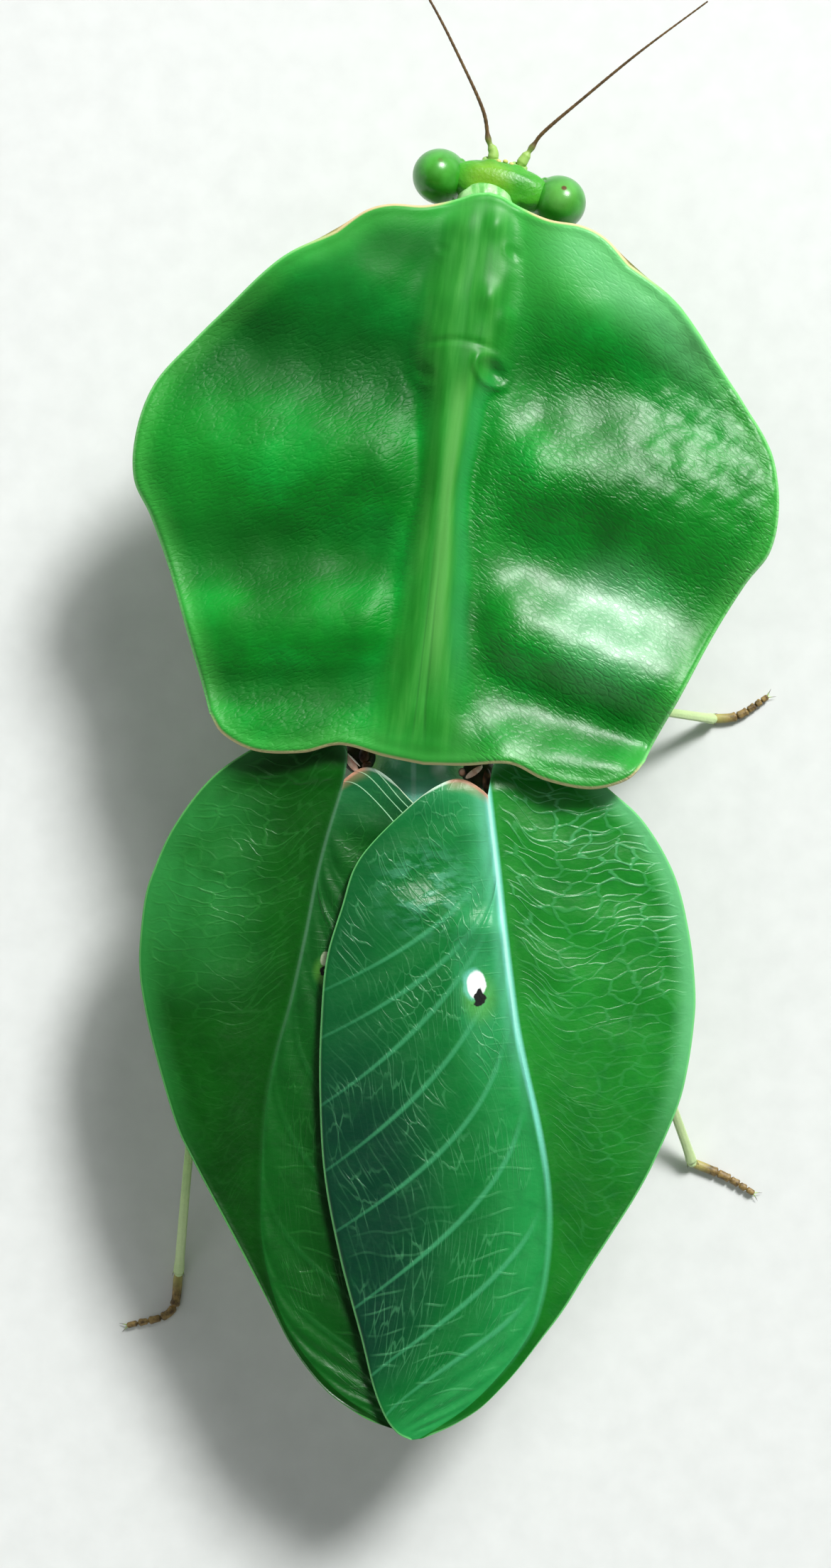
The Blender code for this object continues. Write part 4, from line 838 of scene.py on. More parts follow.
def outerVeins(finish, spot, y, beside, faint):
    # long sagging veins with a web between
    straight = finish.node("ShaderNodeMath", {"operation": "MAXIMUM"}, {0: beside - 2.8})
    sag = finish.band(beside, 0.2, 2.8) * 1.7 - straight * 0.14
    down = y + sag + finish.noise(spot, 0.3, 2.0) * 1.8
    upper = finish.band(y, -22.0, -11.0)
    sags = finish.strokes(down * 0.95, beside * 0.3, 0.085, (0.4, 0.52)) * (upper * 0.5 + 0.2)
    web = finish.web(beside * 0.6, down * 1.55, 0.8, 0.1) * (upper * 0.7 + 0.22)
    return (sags * 0.8 + web * 0.9) * finish.band(beside, 0.3, 1.0) * (faint * 0.5 + 0.5)


def wingFinish(word, build):
    tones = {**wingPaint["both"], **wingPaint[word]}
    finish = Finish("wingGreen" + word.title(), specular=tones["specular"])
    spot = finish.place()
    fromVein = finish.value("fromVein")
    beside = finish.value("mainVein")
    edge = finish.value("edge")
    row = finish.part(finish.map("veinMap"), "Y")
    y = finish.part(spot, "Y")
    inField = finish.band(fromVein, -0.06, 0.06)
    colour = wingGround(finish, tones, spot, y, beside, inField)
    # a creased shine on the right wing, painted as a highlight, and a pale margin outside
    shine = finish.near(spot, "whole", (0.4, -6.9, 11.7), 0.4, 3.6) * tones["shineShare"] * inField
    creased = finish.band(finish.noise(finish.stretched(spot, 0.8, 1.5, 0.4), 1.4, 3.0), 0.42, 0.66)
    colour = finish.mix(shine * creased * 0.34, colour, tones["shine"])
    glow = (1 - finish.band(edge, 0.1, 1.5)) * (1 - inField) * finish.band(y, -28.0, -18.0)
    colour = finish.mix(glow * tones["glowShare"], colour, tones["glow"])
    # the fine net, the branches and the main vein
    faint = finish.band(finish.noise(spot, 0.38, 3.0), 0.42, 0.62)
    lowRows = finish.band(row, 6.5, 9.0)
    innerNet = innerVeins(finish, y, row, fromVein, beside, faint, lowRows)
    net = finish.mix(inField, outerVeins(finish, spot, y, beside, faint), innerNet)
    net = net * tones["netShare"] * finish.band(edge, 0.1, 1.0)
    branch = finish.value("branchVein") / (finish.band(edge, 0.5, 7.0) * 0.1 + 0.12)
    branch = (1 - finish.band(branch, 0.2, 1.0)) * finish.band(beside, 0.3, 1.8)
    branch = branch * (0.25 + finish.band(edge, 0.4, 5.0) * 0.4 + lowRows * 0.15)
    branch = branch * finish.band(y, -5.5, -9.0) * tones["branchShare"]
    width = 0.2 - finish.band(y, -14.0, -26.0) * 0.06
    vein = finish.band(beside - width, 0.12, -0.12) * finish.band(y, -40.0, -29.0) * tones["mainShare"]
    # painted sheen beside the main vein, on its inner side
    soft = (1 - finish.band(beside, 0.1, 1.0)) * finish.band(y, -26.0, -16.0) * 0.65
    soft = soft + (1 - finish.band(beside, 0.2, 1.9)) * finish.band(y, -15.0, -8.5) * 0.3
    veinColour = finish.mix(finish.band(y, -22.0, -30.0), tones["vein"], tones["branch"])
    colour = finish.mix(soft * inField * tones["mainShare"], colour, tones["soft"])
    colour = finish.mix(net, colour, tones["net"])
    colour = finish.mix(branch, colour, tones["branch"])
    colour = finish.mix(vein * 0.92, colour, veinColour)
    core = finish.band(beside, 0.15, 0.02) * finish.band(y, -23.0, -13.0) * finish.band(y, -1.5, -4.5)
    colour = finish.mix(core * 0.55 * tones["mainShare"], colour, tones["core"])
    lines = sum(finish.hairline(edge, place, size) for place, size in tones["analLines"])
    anal = lines * finish.band(y, -12.0, -9.0) * inField * tones["analShare"]
    colour = finish.mix(anal, colour, tones["anal"])
    colour = finish.mix(finish.band(edge, 0.14, 0.04) * 0.75, colour, tones["rim"])
    # the pale rounded root, pinkish on its outer side
    fromRoot = finish.value("root")
    outward = finish.band(abs(finish.part(spot, "X") + 1.65), tones["pinkFrom"] - 0.4, tones["pinkFrom"] + 0.3)
    rootColour = finish.mix(outward, tones["root"], tones["pinkRoot"])
    colour = finish.mix(finish.band(fromRoot, 0.26, 0.08) * inField * 0.85, colour, rootColour)
    blush = finish.band(fromRoot, 0.9, 0.1) * outward * inField
    colour = finish.mix(blush * 0.4, colour, tones["blush"])
    paleMargin = finish.band(edge, 0.2, 0.06) * finish.band(y, -7.5, -5.8) * inField
    colour = finish.mix(paleMargin * 0.8, colour, tones["paleMargin"])
    # the white mark and the dark one
    wobble = finish.wander(spot, 1.5, 0.3)
    darkHalo = wingMark(finish, spot, build, "darkMark", 0.4, 1.3)
    colour = finish.mix(darkHalo * 0.3, colour, tones["darkHalo"])
    halo = wingMark(finish, finish.shifted(wobble, (0.14, 0.0, 0.0)), build, "whiteMark", 0.5, 0.72)
    colour = finish.mix(halo * 0.6 * tones["mainShare"], colour, tones["vein"])
    colour = finish.mix(wingMark(finish, wobble, build, "whiteMark", 0.46, 0.58), colour, tones["white"])
    dark = wingMark(finish, finish.wander(spot, 2.6, 0.55), build, "darkMark", 0.28, 0.35)
    colour = finish.mix(dark, colour, tones["dark"])
    fine = finish.noise(finish.stretched(spot, 1.0, 1.6, 1.0), 3.0, 4.0, 0.6)
    dimple = finish.noise(spot, 0.7, 3.0, 0.5)
    height = (net + anal) * 1.1 + branch * 0.5 + fine * 0.2 + dimple * 0.9
    height = height + shine * (creased * 0.5 + net * 1.6)
    rough = finish.band(fine, 0.3, 0.7) * 0.06 + 0.36 + dark * 0.4
    return finish.wear(colour=colour, roughness=rough, normal=finish.bump(height, 0.08, 0.9))


for word, build in (("right", rightWing), ("left", leftWing)):
    piece = makeWing("forewing" + word.title(), build)
    setInPlace(piece, "whole", wingFinish(word, build), "wing_green", "forewing_" + word)
print("forewings made")


# Trunk: the skin from the neck to the abdomen's tip, with the roots of the walking legs

trunk = {
    "voxel": 0.15, "segments": 8, "segmentStep": 0.2, "thoraxLength": 12.4,
    "prothorax": [(1.2, 1.7, 9.3, 12.2), (2.0, 2.1, 8.9, 12.4), (8.0, 1.5, 9.4, 12.5), (15.0, 1.2, 9.5, 12.5),
                  (19.5, 1.8, 9.1, 12.4), (22.8, 2.5, 8.7, 12.4), (26.5, 2.0, 9.0, 12.2),
                  (29.2, 1.45, 9.4, 11.9)],
    "thorax": [(1.2, 1.5, 8.0, 10.4), (0.4, 2.5, 6.2, 10.6), (-0.5, 3.6, 5.2, 10.7), (-1.6, 4.0, 4.8, 10.55),
               (-2.6, 3.9, 4.7, 10.15), (-4.2, 3.8, 4.6, 9.65), (-7.2, 3.8, 4.5, 9.6), (-9.4, 3.7, 4.5, 9.5),
               (-11.2, 3.3, 4.9, 9.1)],
    "abdomen": [(-10.2, 3.4, 5.0, 9.1), (-12.6, 5.0, 4.0, 9.25), (-16.5, 6.4, 3.5, 9.2),
                (-20.5, 6.8, 3.3, 9.1), (-24.5, 6.3, 3.5, 8.9), (-28.0, 4.9, 4.2, 8.6), (-30.6, 3.2, 5.0, 8.2),
                (-32.3, 1.7, 5.8, 7.7)],
    "coxaRadii": [(0.0, 0.9, 0.9), (0.3, 1.15, 1.1), (0.6, 1.0, 1.0), (1.0, 0.62, 0.62)],
    "collarRoute": [(3.4, 29.4, 11.1), (3.75, 30.6, 11.1), (4.05, 31.55, 10.95)],
    "collar": [(0.0, 1.75, 1.0), (0.5, 1.65, 0.95), (0.85, 1.2, 0.9), (1.0, 0.95, 0.85)],
    "midHip": (2.3, -3.4, 6.2), "midSocket": (4.0, -4.0, 4.1),
    "hindHip": (2.3, -7.4, 6.2), "hindSocket": (4.0, -9.0, 4.1),
    "neck": [(0.0, 1.25, 1.0), (0.5, 1.05, 0.95), (1.0, 1.15, 1.05)],
    "neckRoute": [(3.4, 28.4, 10.4), (3.75, 29.9, 10.2), (4.3, 31.2, 10.1)],
    "waist": [(0.0, 1.5, 1.0), (0.5, 1.35, 1.0), (1.0, 1.6, 1.2)],
    "waistRoute": [(0.3, 2.8, 10.9), (0.1, 1.0, 10.1), (0.0, -0.6, 9.0)],
    # the roots of the wings, on the right side: place, radii; the front ones stand unevenly
    "wingRoot": ((3.28, -0.1, 10.75), (0.95, 0.95, 0.5)), "wingRootUneven": 0.45,
    "rearWingRoot": ((3.0, -5.0, 9.7), (0.7, 1.2, 0.55)),
}
trunkPaint = {
    "light": paint(122, 186, 84), "deep": paint(84, 158, 62), "underside": paint(168, 206, 120),
    "notum": paint(64, 166, 124), "notumRearLight": paint(122, 214, 186), "membrane": paint(214, 234, 222),
    "stripe": paint(150, 206, 186), "collar": paint(104, 190, 96), "collarPale": paint(176, 226, 160),
    "wingRootDark": ((0.4, paint(10, 5, 2)), (0.65, paint(58, 34, 18))), "freckles": paint(60, 120, 40),
}


def lengthwise(name, rows, rings, around, ends, square=1.0, relief=None):
    # rows along y: (place, half width, low, high)
    rows = np.array(rows, float)
    route = np.stack([np.zeros(len(rows)), rows[:, 0], (rows[:, 2] + rows[:, 3]) / 2], -1)
    lengths = lengthsOf(route)
    sizes = np.stack([lengths / lengths[-1], rows[:, 1], (rows[:, 3] - rows[:, 2]) / 2], -1)
    return rollUp(name, route, sizes, rings, around, ends, square=square, relief=relief)


def thoraxRelief(angle, share):
    place = share * trunk["thoraxLength"]
    plates = 0.16 * hump(place - 5.1, 0.28) + 0.1 * hump(place - 2.3, 0.3) + 0.12 * hump(place - 8.3, 0.25)
    flank = 0.12 * np.abs(np.cos(angle)) * np.cos(place * 2.2 + 2.5 * np.sin(angle))
    ridge = 0.12 * hump(np.cos(angle), 0.2) * (np.sin(angle) > 0)
    return flank * 0.5 + ridge - plates


def abdomenRelief(angle, share):
    within = (share * trunk["segments"]) % 1.0
    step = trunk["segmentStep"] * (smoothStep(0.0, 0.3, within) - 1) - 0.08 * hump(within - 0.97, 0.05)
    pleat = -0.22 * hump(np.sin(angle) + 0.12, 0.16) * np.abs(np.cos(angle))
    keel = 0.1 * hump(np.cos(angle), 0.12) * (np.sin(angle) > 0)
    return step + pleat + keel + 0.03 * np.cos(angle * 9) * np.cos(share * 90)


def collarFolds(angle, share):
    return 0.07 * np.cos(angle * 14) * smoothStep(0.3, 0.7, share)


def neckFolds(angle, share):
    return 0.05 * np.cos(share * 40)


def makeTrunk():
    pieces = [
        lengthwise("prothorax", trunk["prothorax"], 150, 32, (0.5, 0.4), 0.9),
        lengthwise("thorax", trunk["thorax"], 110, 48, (0.6, 0.6), 0.6, thoraxRelief),
        lengthwise("abdomen", trunk["abdomen"], 260, 64, (0.5, 0.7), 0.92, abdomenRelief),
    ]
    frontPlace, frontTurn = frames["front"]
    takeUp(pieces[0])
    pieces[0].rotation_euler = (0, 0, math.radians(frontTurn))
    pieces[0].location = (round(frontPlace[0] - frames["whole"][0][0], 6), 0, 0)
    bpy.ops.object.transform_apply(location=True, rotation=True)
    pieces.append(rollUp("neck", trunk["neckRoute"], trunk["neck"], 40, 24, (0.2, 0.2), relief=neckFolds))
    pieces.append(rollUp("collar", trunk["collarRoute"], trunk["collar"], 50, 72, (0.35, 0.5),
                         relief=collarFolds))
    pieces.append(rollUp("waist", trunk["waistRoute"], trunk["waist"], 40, 24, (0.4, 0.4), relief=neckFolds))
    for side in (-1, 1):
        for pair in ("mid", "hind"):
            start, end = np.array(trunk[pair + "Hip"], float), np.array(trunk[pair + "Socket"], float)
            beyond = end + (end - start) * 0.06
            route = [onSide(side, spot) for spot in (start, (start + beyond) / 2, beyond)]
            pieces.append(rollUp("coxa", route, trunk["coxaRadii"], 40, 24, (0.4, 0.45)))
        (x, y, z), radii = trunk["wingRoot"]
        pieces.append(ball("wingRoot", (side * x, y - side * trunk["wingRootUneven"], z), radii))
        place, radii = trunk["rearWingRoot"]
        pieces.append(ball("rearWingRoot", onSide(side, place), radii))
    piece = joinUp("trunkSkin", *pieces)
    apply(piece, "REMESH", mode="VOXEL", voxel_size=trunk["voxel"])
    apply(piece, "SMOOTH", factor=0.5, iterations=3)
    bpy.ops.object.shade_smooth()
    return piece


def bodyFinish(name, light, deep, underside):
    finish = Finish(name)
    spot = finish.place()
    patches = finish.noise(spot, 0.7, 4.0, 0.6)
    freckles = finish.band(finish.noise(spot, 4.5, 2.0), 0.56, 0.68)
    colour = finish.mix(finish.band(patches, 0.3, 0.7), light, deep)
    facing = finish.node("ShaderNodeNewGeometry", {}, {}, "Normal")
    down = finish.band(finish.part(facing, "Z"), 0.2, -0.8)
    colour = finish.mix(down * 0.6, colour, underside)
    colour = finish.mix(freckles * 0.3, colour, trunkPaint["freckles"])
    pores = finish.cells(spot, 5.0, "F1")
    grain = finish.noise(spot, 9.0, 3.0, 0.6)
    normal = finish.bump(grain * 0.7 + pores * 0.5, 0.03, 0.8)
    rough = finish.band(grain, 0.3, 0.7) * 0.15 + 0.34
    return finish, spot, colour, normal, rough


def limbFinish(name, light, deep, underside=None, pale=None):
    finish, spot, colour, normal, rough = bodyFinish(name, light, deep, underside or light)
    if pale:                            # the lower half of a walking leg
        colour = finish.mix(finish.band(finish.part(spot, "Z"), 8.4, 2.0) * 0.8, colour, pale)
    return finish.wear(colour=colour, roughness=rough, normal=normal)


def trunkFinish():
    tones = trunkPaint
    finish, spot, colour, normal, rough = bodyFinish(
        "bodyGreen", tones["light"], tones["deep"], tones["underside"])
    # the thorax between the wings, on coordinates that make its patch long and low
    notumSpot = (-0.00165, -0.0035, 0.00535)
    notum = 1 - finish.band(finish.awayFrom(finish.stretched(spot, 1.0, 0.7, 0.5), notumSpot), 1.4, 3.0)
    colour = finish.mix(notum * 0.8, colour, tones["notum"])
    # painted light: the patch's rear made paler where the shield's shadow falls
    notumRearLight = notum * finish.band(finish.part(spot, "Y"), -4.6, -6.2)
    colour = finish.mix(notumRearLight * 0.7, colour, tones["notumRearLight"])
    membrane = finish.near(spot, "whole", (1.35, -0.35, 10.5), 0.25, 0.9)
    colour = finish.mix(membrane * 0.75, colour, tones["membrane"])
    stripe = finish.hairline(finish.part(spot, "X"), -1.95, 0.2) * notum
    colour = finish.mix(stripe * 0.6, colour, tones["stripe"])
    collar = finish.near(spot, "front", (0.1, 31.0, 11.6), 1.2, 2.2)
    folds = finish.noise(finish.stretched(spot, 3.0, 0.5, 0.5), 1.0, 2.0)
    collarColour = finish.mix(finish.band(folds, 0.35, 0.65), tones["collar"], tones["collarPale"])
    colour = finish.mix(collar * 0.8, colour, collarColour)
    # near-black to brown at the wings' roots
    wingRootDark = finish.ramp(finish.noise(spot, 1.8, 3.0), *tones["wingRootDark"])
    for side in (-1, 1):
        x, y = trunk["wingRoot"][0][:2]
        rootSpot = (side * x, y - side * trunk["wingRootUneven"], 11.0)
        colour = finish.mix(finish.near(spot, "whole", rootSpot, 0.85, 1.3) * 0.95, colour, wingRootDark)
    return finish.wear(colour=colour, roughness=rough, normal=normal)


setInPlace(makeTrunk(), "whole", trunkFinish(), "body_green", "prothorax", "neck", "thorax", "abdomen",
           "mid_coxa_left", "mid_coxa_right", "hind_coxa_left", "hind_coxa_right")
print("trunk made")


# Wing hinges: the small curved plates and straps between the shield and the wings' roots

hinges = {
    # for each side: place, radii, turn
    "plates": {
        -1: [((-3.68, 0.0, 11.5), (0.6, 0.2, 0.08), (0, 0, -54)),
             ((-3.0, 0.4, 11.15), (0.3, 0.42, 0.25), (0, 0, 0)),
             ((-2.85, -0.1, 11.2), (0.28, 0.2, 0.2), (0, 0, 20))],
        1: [((3.0, -0.5, 11.5), (0.56, 0.17, 0.1), (0, 0, 36)),
            ((2.35, -0.5, 11.3), (0.2, 0.24, 0.2), (0, 0, 0)),
            ((3.72, -1.0, 11.15), (0.26, 0.7, 0.22), (0, 0, 0))],
    },
    "straps": {
        -1: [(-3.95, 0.56, 11.6), (-3.6, 0.22, 11.64), (-3.2, -0.2, 11.64)],
        1: [(3.45, -0.1, 11.5), (3.3, -0.3, 11.52), (3.1, -0.6, 11.5)],
    },
    "strapSizes": [(0.0, 0.03, 0.03), (0.5, 0.05, 0.05), (1.0, 0.03, 0.03)],
    "low": ((0.35, paint(30, 16, 8)), (0.65, paint(104, 66, 38))),
    "pale": ((0.35, paint(214, 158, 134)), (0.65, paint(248, 222, 204))), "top": paint(250, 240, 228),
}


def makeHinges():
    pieces = []
    for side in (-1, 1):
        for place, radii, turn in hinges["plates"][side]:
            pieces.append(ball("hingePlate", place, radii, turn, 40, 24))
        pieces.append(rollUp("hingeStrap", hinges["straps"][side], hinges["strapSizes"], 60, 16, (0.15, 0.15)))
    return joinUp("wingHinges", *pieces)


def hingeFinish():                      # brown below, pinkish above, and a painted white highlight along the upper edges
    finish = Finish("hingeBrown", roughness=0.4)
    spot = finish.place()
    z = finish.part(spot, "Z")
    low = finish.ramp(finish.noise(spot, 2.2, 3.0), *hinges["low"])
    pale = finish.ramp(finish.noise(spot, 2.6, 3.0), *hinges["pale"])
    colour = finish.mix(finish.band(z, 11.38, 11.5), low, pale)
    # painted highlight: white along the upper edges
    colour = finish.mix(finish.band(z, 11.6, 11.64) * 0.9, colour, hinges["top"])
    grain = finish.noise(spot, 8.0, 3.0, 0.6)
    return finish.wear(colour=colour, normal=finish.bump(grain, 0.03, 0.8))


setInPlace(makeHinges(), "whole", hingeFinish(), "foot_tan")
print("wing hinges made")


# Tail end: the egg-laying valves and the two jointed cerci

tail = {
    "valves": [(-31.6, 0.9, 5.9, 6.9), (-32.6, 0.85, 5.7, 6.6), (-33.4, 0.7, 5.55, 6.4),
               (-34.45, 0.2, 5.5, 6.0)],
    "cercus": [(1.35, -31.7, 7.2), (1.6, -32.5, 7.3), (2.1, -33.6, 7.5), (2.4, -34.95, 7.8)],
    "cercusSizes": [(0.0, 0.46, 0.42), (0.25, 0.48, 0.44), (0.7, 0.38, 0.34), (1.0, 0.16, 0.14)], "beads": 11,
    "valveTan": paint(176, 150, 90), "valveBrown": paint(120, 92, 50),
    "cercusLight": paint(136, 180, 84), "cercusDeep": paint(104, 150, 60), "cercusUnder": paint(160, 190, 110),
}


def brownFinish(name, light, dark, scale, start=None):
    finish = Finish(name)
    spot = finish.place()
    colour = finish.ramp(finish.noise(spot, scale, 4.0, 0.65), (0.36, dark), (0.62, light))
    if start:                           # a foot is paler where it starts
        along = finish.part(finish.map("limbMap"), "Y")
        colour = finish.mix(1 - finish.band(along, 0.2, 1.4), colour, start)
    grain = finish.noise(spot, 12.0, 3.0, 0.6)
    return finish.wear(colour=colour, roughness=grain * 0.25 + 0.35, normal=finish.bump(grain, 0.03, 0.8))


def valveGroove(angle, share):
    return -0.25 * hump(np.cos(angle), 0.16) * smoothStep(0.1, 0.5, share)


def cercusBeads(angle, share):
    return 0.035 * np.cos(share * tail["beads"] * 2 * np.pi)


def makeCercus(side, word):
    route = [onSide(side, place) for place in tail["cercus"]]
    return rollUp("cercus" + word.title(), route, tail["cercusSizes"], 100, 20, (0.2, 0.12),
                  relief=cercusBeads)


setInPlace(lengthwise("eggValves", tail["valves"], 60, 40, (0.3, 0.15), 1.0, valveGroove), "whole",
           brownFinish("valveTan", tail["valveTan"], tail["valveBrown"], 1.4), "foot_tan", "ovipositor")
for side, word in sides:
    cercusGreen = limbFinish("cercusGreen" + word, tail["cercusLight"], tail["cercusDeep"], tail["cercusUnder"])
    setInPlace(makeCercus(side, word), "whole", cercusGreen, "body_green", "cercus_" + word)
print("tail end made")


# Hindwings, folded like fans under the forewings

fan = {
    "edge": [(3.3, -4.2), (5.2, -6.5), (6.7, -12.0), (7.0, -19.0), (6.2, -25.5), (3.6, -31.0), (1.2, -32.6)],
    "inside": 0.2, "pleats": 11, "depth": 0.3, "thick": 0.1, "below": 0.62, "crossRise": 0.012,
    "light": paint(176, 208, 176), "deep": paint(150, 192, 158), "ladder": paint(118, 168, 122),
    "vein": paint(104, 160, 96),
}


def makeFan(side, word):
    piece, u, v = gridPiece("hindwing" + word.title(), fan["pleats"] * 8, 120)
    edge = smoothCurve(fan["edge"])
    y = edge[0, 1] + (edge[-1, 1] - edge[0, 1]) * v
    x = fan["inside"] + (xAt(edge, y) - fan["inside"]) * u
    fold = np.abs((u * fan["pleats"]) % 1.0 - 0.5) * 2
    z = wingMiddle(x, y, -1) - fan["below"] - fan["depth"] * fold * smoothStep(1.0, 0.9, u)
    cross = fan["crossRise"] * np.cos(v * 260 + u * 8)
    moveTo(piece, side * x, y, z + cross)
    setValue(piece, "fold", fold)
    closeUp(piece)
    thicken(piece, fan["thick"])
    return piece


def fanFinish(name):
    finish = Finish(name, roughness=0.35)
    spot = finish.place()
    ladder = 1 - finish.band(finish.cells(finish.stretched(spot, 2.2, 0.9, 0.1), 1.2), 0.02, 0.08)
    vein = finish.band(finish.value("fold"), 0.86, 1.0)
    colour = finish.mix(finish.band(finish.noise(spot, 0.5), 0.3, 0.7), fan["light"], fan["deep"])
    colour = finish.mix(ladder * 0.5, colour, fan["ladder"])
    colour = finish.mix(vein * 0.7, colour, fan["vein"])
    return finish.wear(colour=colour, normal=finish.bump(ladder + vein, 0.05, 0.8))


for side, word in sides:
    setInPlace(makeFan(side, word), "whole", fanFinish("fanPale" + word), "hindwing_pale", "hindwing_" + word)
print("hindwings made")


# Head

head = {
    "voxel": 0.055,
    "skull": [(1.62, 1.3, -0.45, 0.7), (1.4, 2.3, -0.8, 1.1), (0.9, 2.75, -1.05, 1.35), (0.0, 2.8, -1.1, 1.5),
              (-0.9, 2.55, -1.05, 1.5), (-1.8, 2.05, -0.95, 1.35), (-2.8, 1.45, -0.85, 1.1),
              (-3.6, 1.05, -0.75, 0.85), (-4.1, 0.85, -0.65, 0.7)],
    "vertex": [(-2.8, 0.0, 0.1), (-1.5, 0.05, 0.5), (0, 0.12, 0.66), (1.5, 0.05, 0.5), (2.8, 0.0, 0.1)],
    "vertexSizes": [(0.0, 0.7, 0.8), (0.25, 1.02, 0.9), (0.5, 1.14, 0.86), (0.75, 1.02, 0.9), (1.0, 0.7, 0.8)],
    "eyeOut": 3.3, "eyeRadii": (1.5, 1.5, 2.0), "eyeLean": 14.0,
    # the face's plates: name, place, radii, turn
    "lobes": [("facePlate", (0, 1.42, -0.72), (1.25, 0.22, 0.5), (6, 0, 0)),
              ("facePlateKeel", (0, 1.52, -0.72), (0.2, 0.2, 0.5), (6, 0, 0)),
              ("clypeus", (0, 1.13, -2.15), (0.98, 0.3, 0.55), (14, 0, 0)),
              ("lowerClypeus", (0, 0.92, -3.1), (0.8, 0.28, 0.42), (12, 0, 0))],
    "brow": ((0.7, 0.95, 0.75), (0.62, 0.5, 0.4)), "cheekBack": ((0.5, -0.6, -4.3), (0.5, 0.3, 0.75)),
    "lip": [(-3.45, 0.72, 0.3, 0.98), (-4.3, 0.72, 0.22, 0.8), (-4.8, 0.6, 0.14, 0.7), (-5.2, 0.3, 0.1, 0.5)],
    "jaw": [(1.15, 0.1, -3.2), (1.0, 0.1, -4.1), (0.62, 0.0, -4.8), (0.2, -0.1, -5.25)],
    "jawSizes": [(0.0, 0.42, 0.5), (0.5, 0.42, 0.45), (1.0, 0.15, 0.2)],
    "palp": [(0.95, -0.35, -3.9), (1.2, -0.4, -4.5), (1.55, -0.2, -5.0), (1.45, 0.2, -5.7), (1.05, 0.5, -6.4)],
    "palpSizes": [(0.0, 0.2, 0.2), (0.3, 0.24, 0.24), (0.7, 0.23, 0.23), (1.0, 0.14, 0.14)],
    "palpJoints": (0.2, 0.36, 0.62, 0.84), "lipPalpJoints": (0.33, 0.66),
    "lipPalp": [(0.4, -0.5, -4.4), (0.62, -0.55, -5.0), (0.6, -0.3, -5.6), (0.42, 0.0, -6.0)],
    "lipPalpSizes": [(0.0, 0.17, 0.17), (0.6, 0.18, 0.18), (1.0, 0.1, 0.1)],
    # rings round the feelers' sockets and the eyes: place, turn in degrees, radii, stretch
    "feelerSocket": ((0.8, 1.5, 0.12), (-68, 0, -8), (0.36, 0.12)),
    "orbit": ((2.3, 0.02, 0.0), (1.0, 0.075), (1.42, 1.12, 1.4)),
    "ocelli": [(0, 1.53, 0.42), (-0.36, 1.4, 0.74), (0.36, 1.4, 0.74)], "ocellusRadii": (0.15, 0.12, 0.13),
}
headPaint = {
    "light": paint(70, 166, 38), "deep": paint(44, 142, 20), "underside": paint(112, 176, 70),
    "crown": paint(134, 178, 30), "socket": paint(170, 196, 110), "mouth": paint(150, 140, 70),
    "eye": ((0.3, paint(34, 130, 12)), (0.7, paint(58, 156, 44))), "eyeBelow": paint(140, 180, 104),
    "eyeTop": paint(150, 206, 120), "speck": paint(92, 50, 24),
    "amber": ((0.3, paint(190, 190, 96)), (0.7, paint(214, 206, 128))),
    # how far the painted sheen on the top and the speck show on each eye
    "eyeTopShare": {"left": 0.1, "right": 0.25}, "speckShare": {"left": 0.25, "right": 0.95},
}


def upDown(name, rows, rings, around, ends, square=1.0, relief=None):
    # rows down z: (height, half width, back, front)
    rows = np.array(rows, float)
    route = np.stack([np.zeros(len(rows)), (rows[:, 2] + rows[:, 3]) / 2, rows[:, 0]], -1)
    lengths = lengthsOf(route)
    sizes = np.stack([lengths / lengths[-1], rows[:, 1], (rows[:, 3] - rows[:, 2]) / 2], -1)
    return rollUp(name, route, sizes, rings, around, ends, (0, 1, 0), square, relief)


def skullRelief(angle, share):
    front = smoothStep(0.0, 0.6, np.sin(angle))
    middle = np.abs(np.cos(angle))
    groove = -0.1 * hump(middle - 0.42, 0.07) * front * smoothStep(0.18, 0.35, share)
    cheek = 0.08 * hump(middle - 0.75, 0.18) * front * hump(share - 0.5, 0.2)
    crown = -0.12 * hump(share - 0.1, 0.05) * hump(middle - 0.5, 0.1)
    return groove + cheek + crown


def jointedRelief(places, depth, width=0.015):
    def grooves(angle, share):
        return -depth * sum(hump(share - place, width) for place in places)
    return grooves


def ringAt(place, turn, segments, radii, stretch=(1, 1, 1)):
    nothingSelected()
    bpy.ops.mesh.primitive_torus_add(
        major_segments=segments, minor_segments=14, major_radius=radii[0], minor_radius=radii[1],
        location=place, rotation=[math.radians(value) for value in turn])
    piece = bpy.context.object
    piece.scale = stretch
    bpy.ops.object.transform_apply(location=True, rotation=True, scale=True)
    return piece


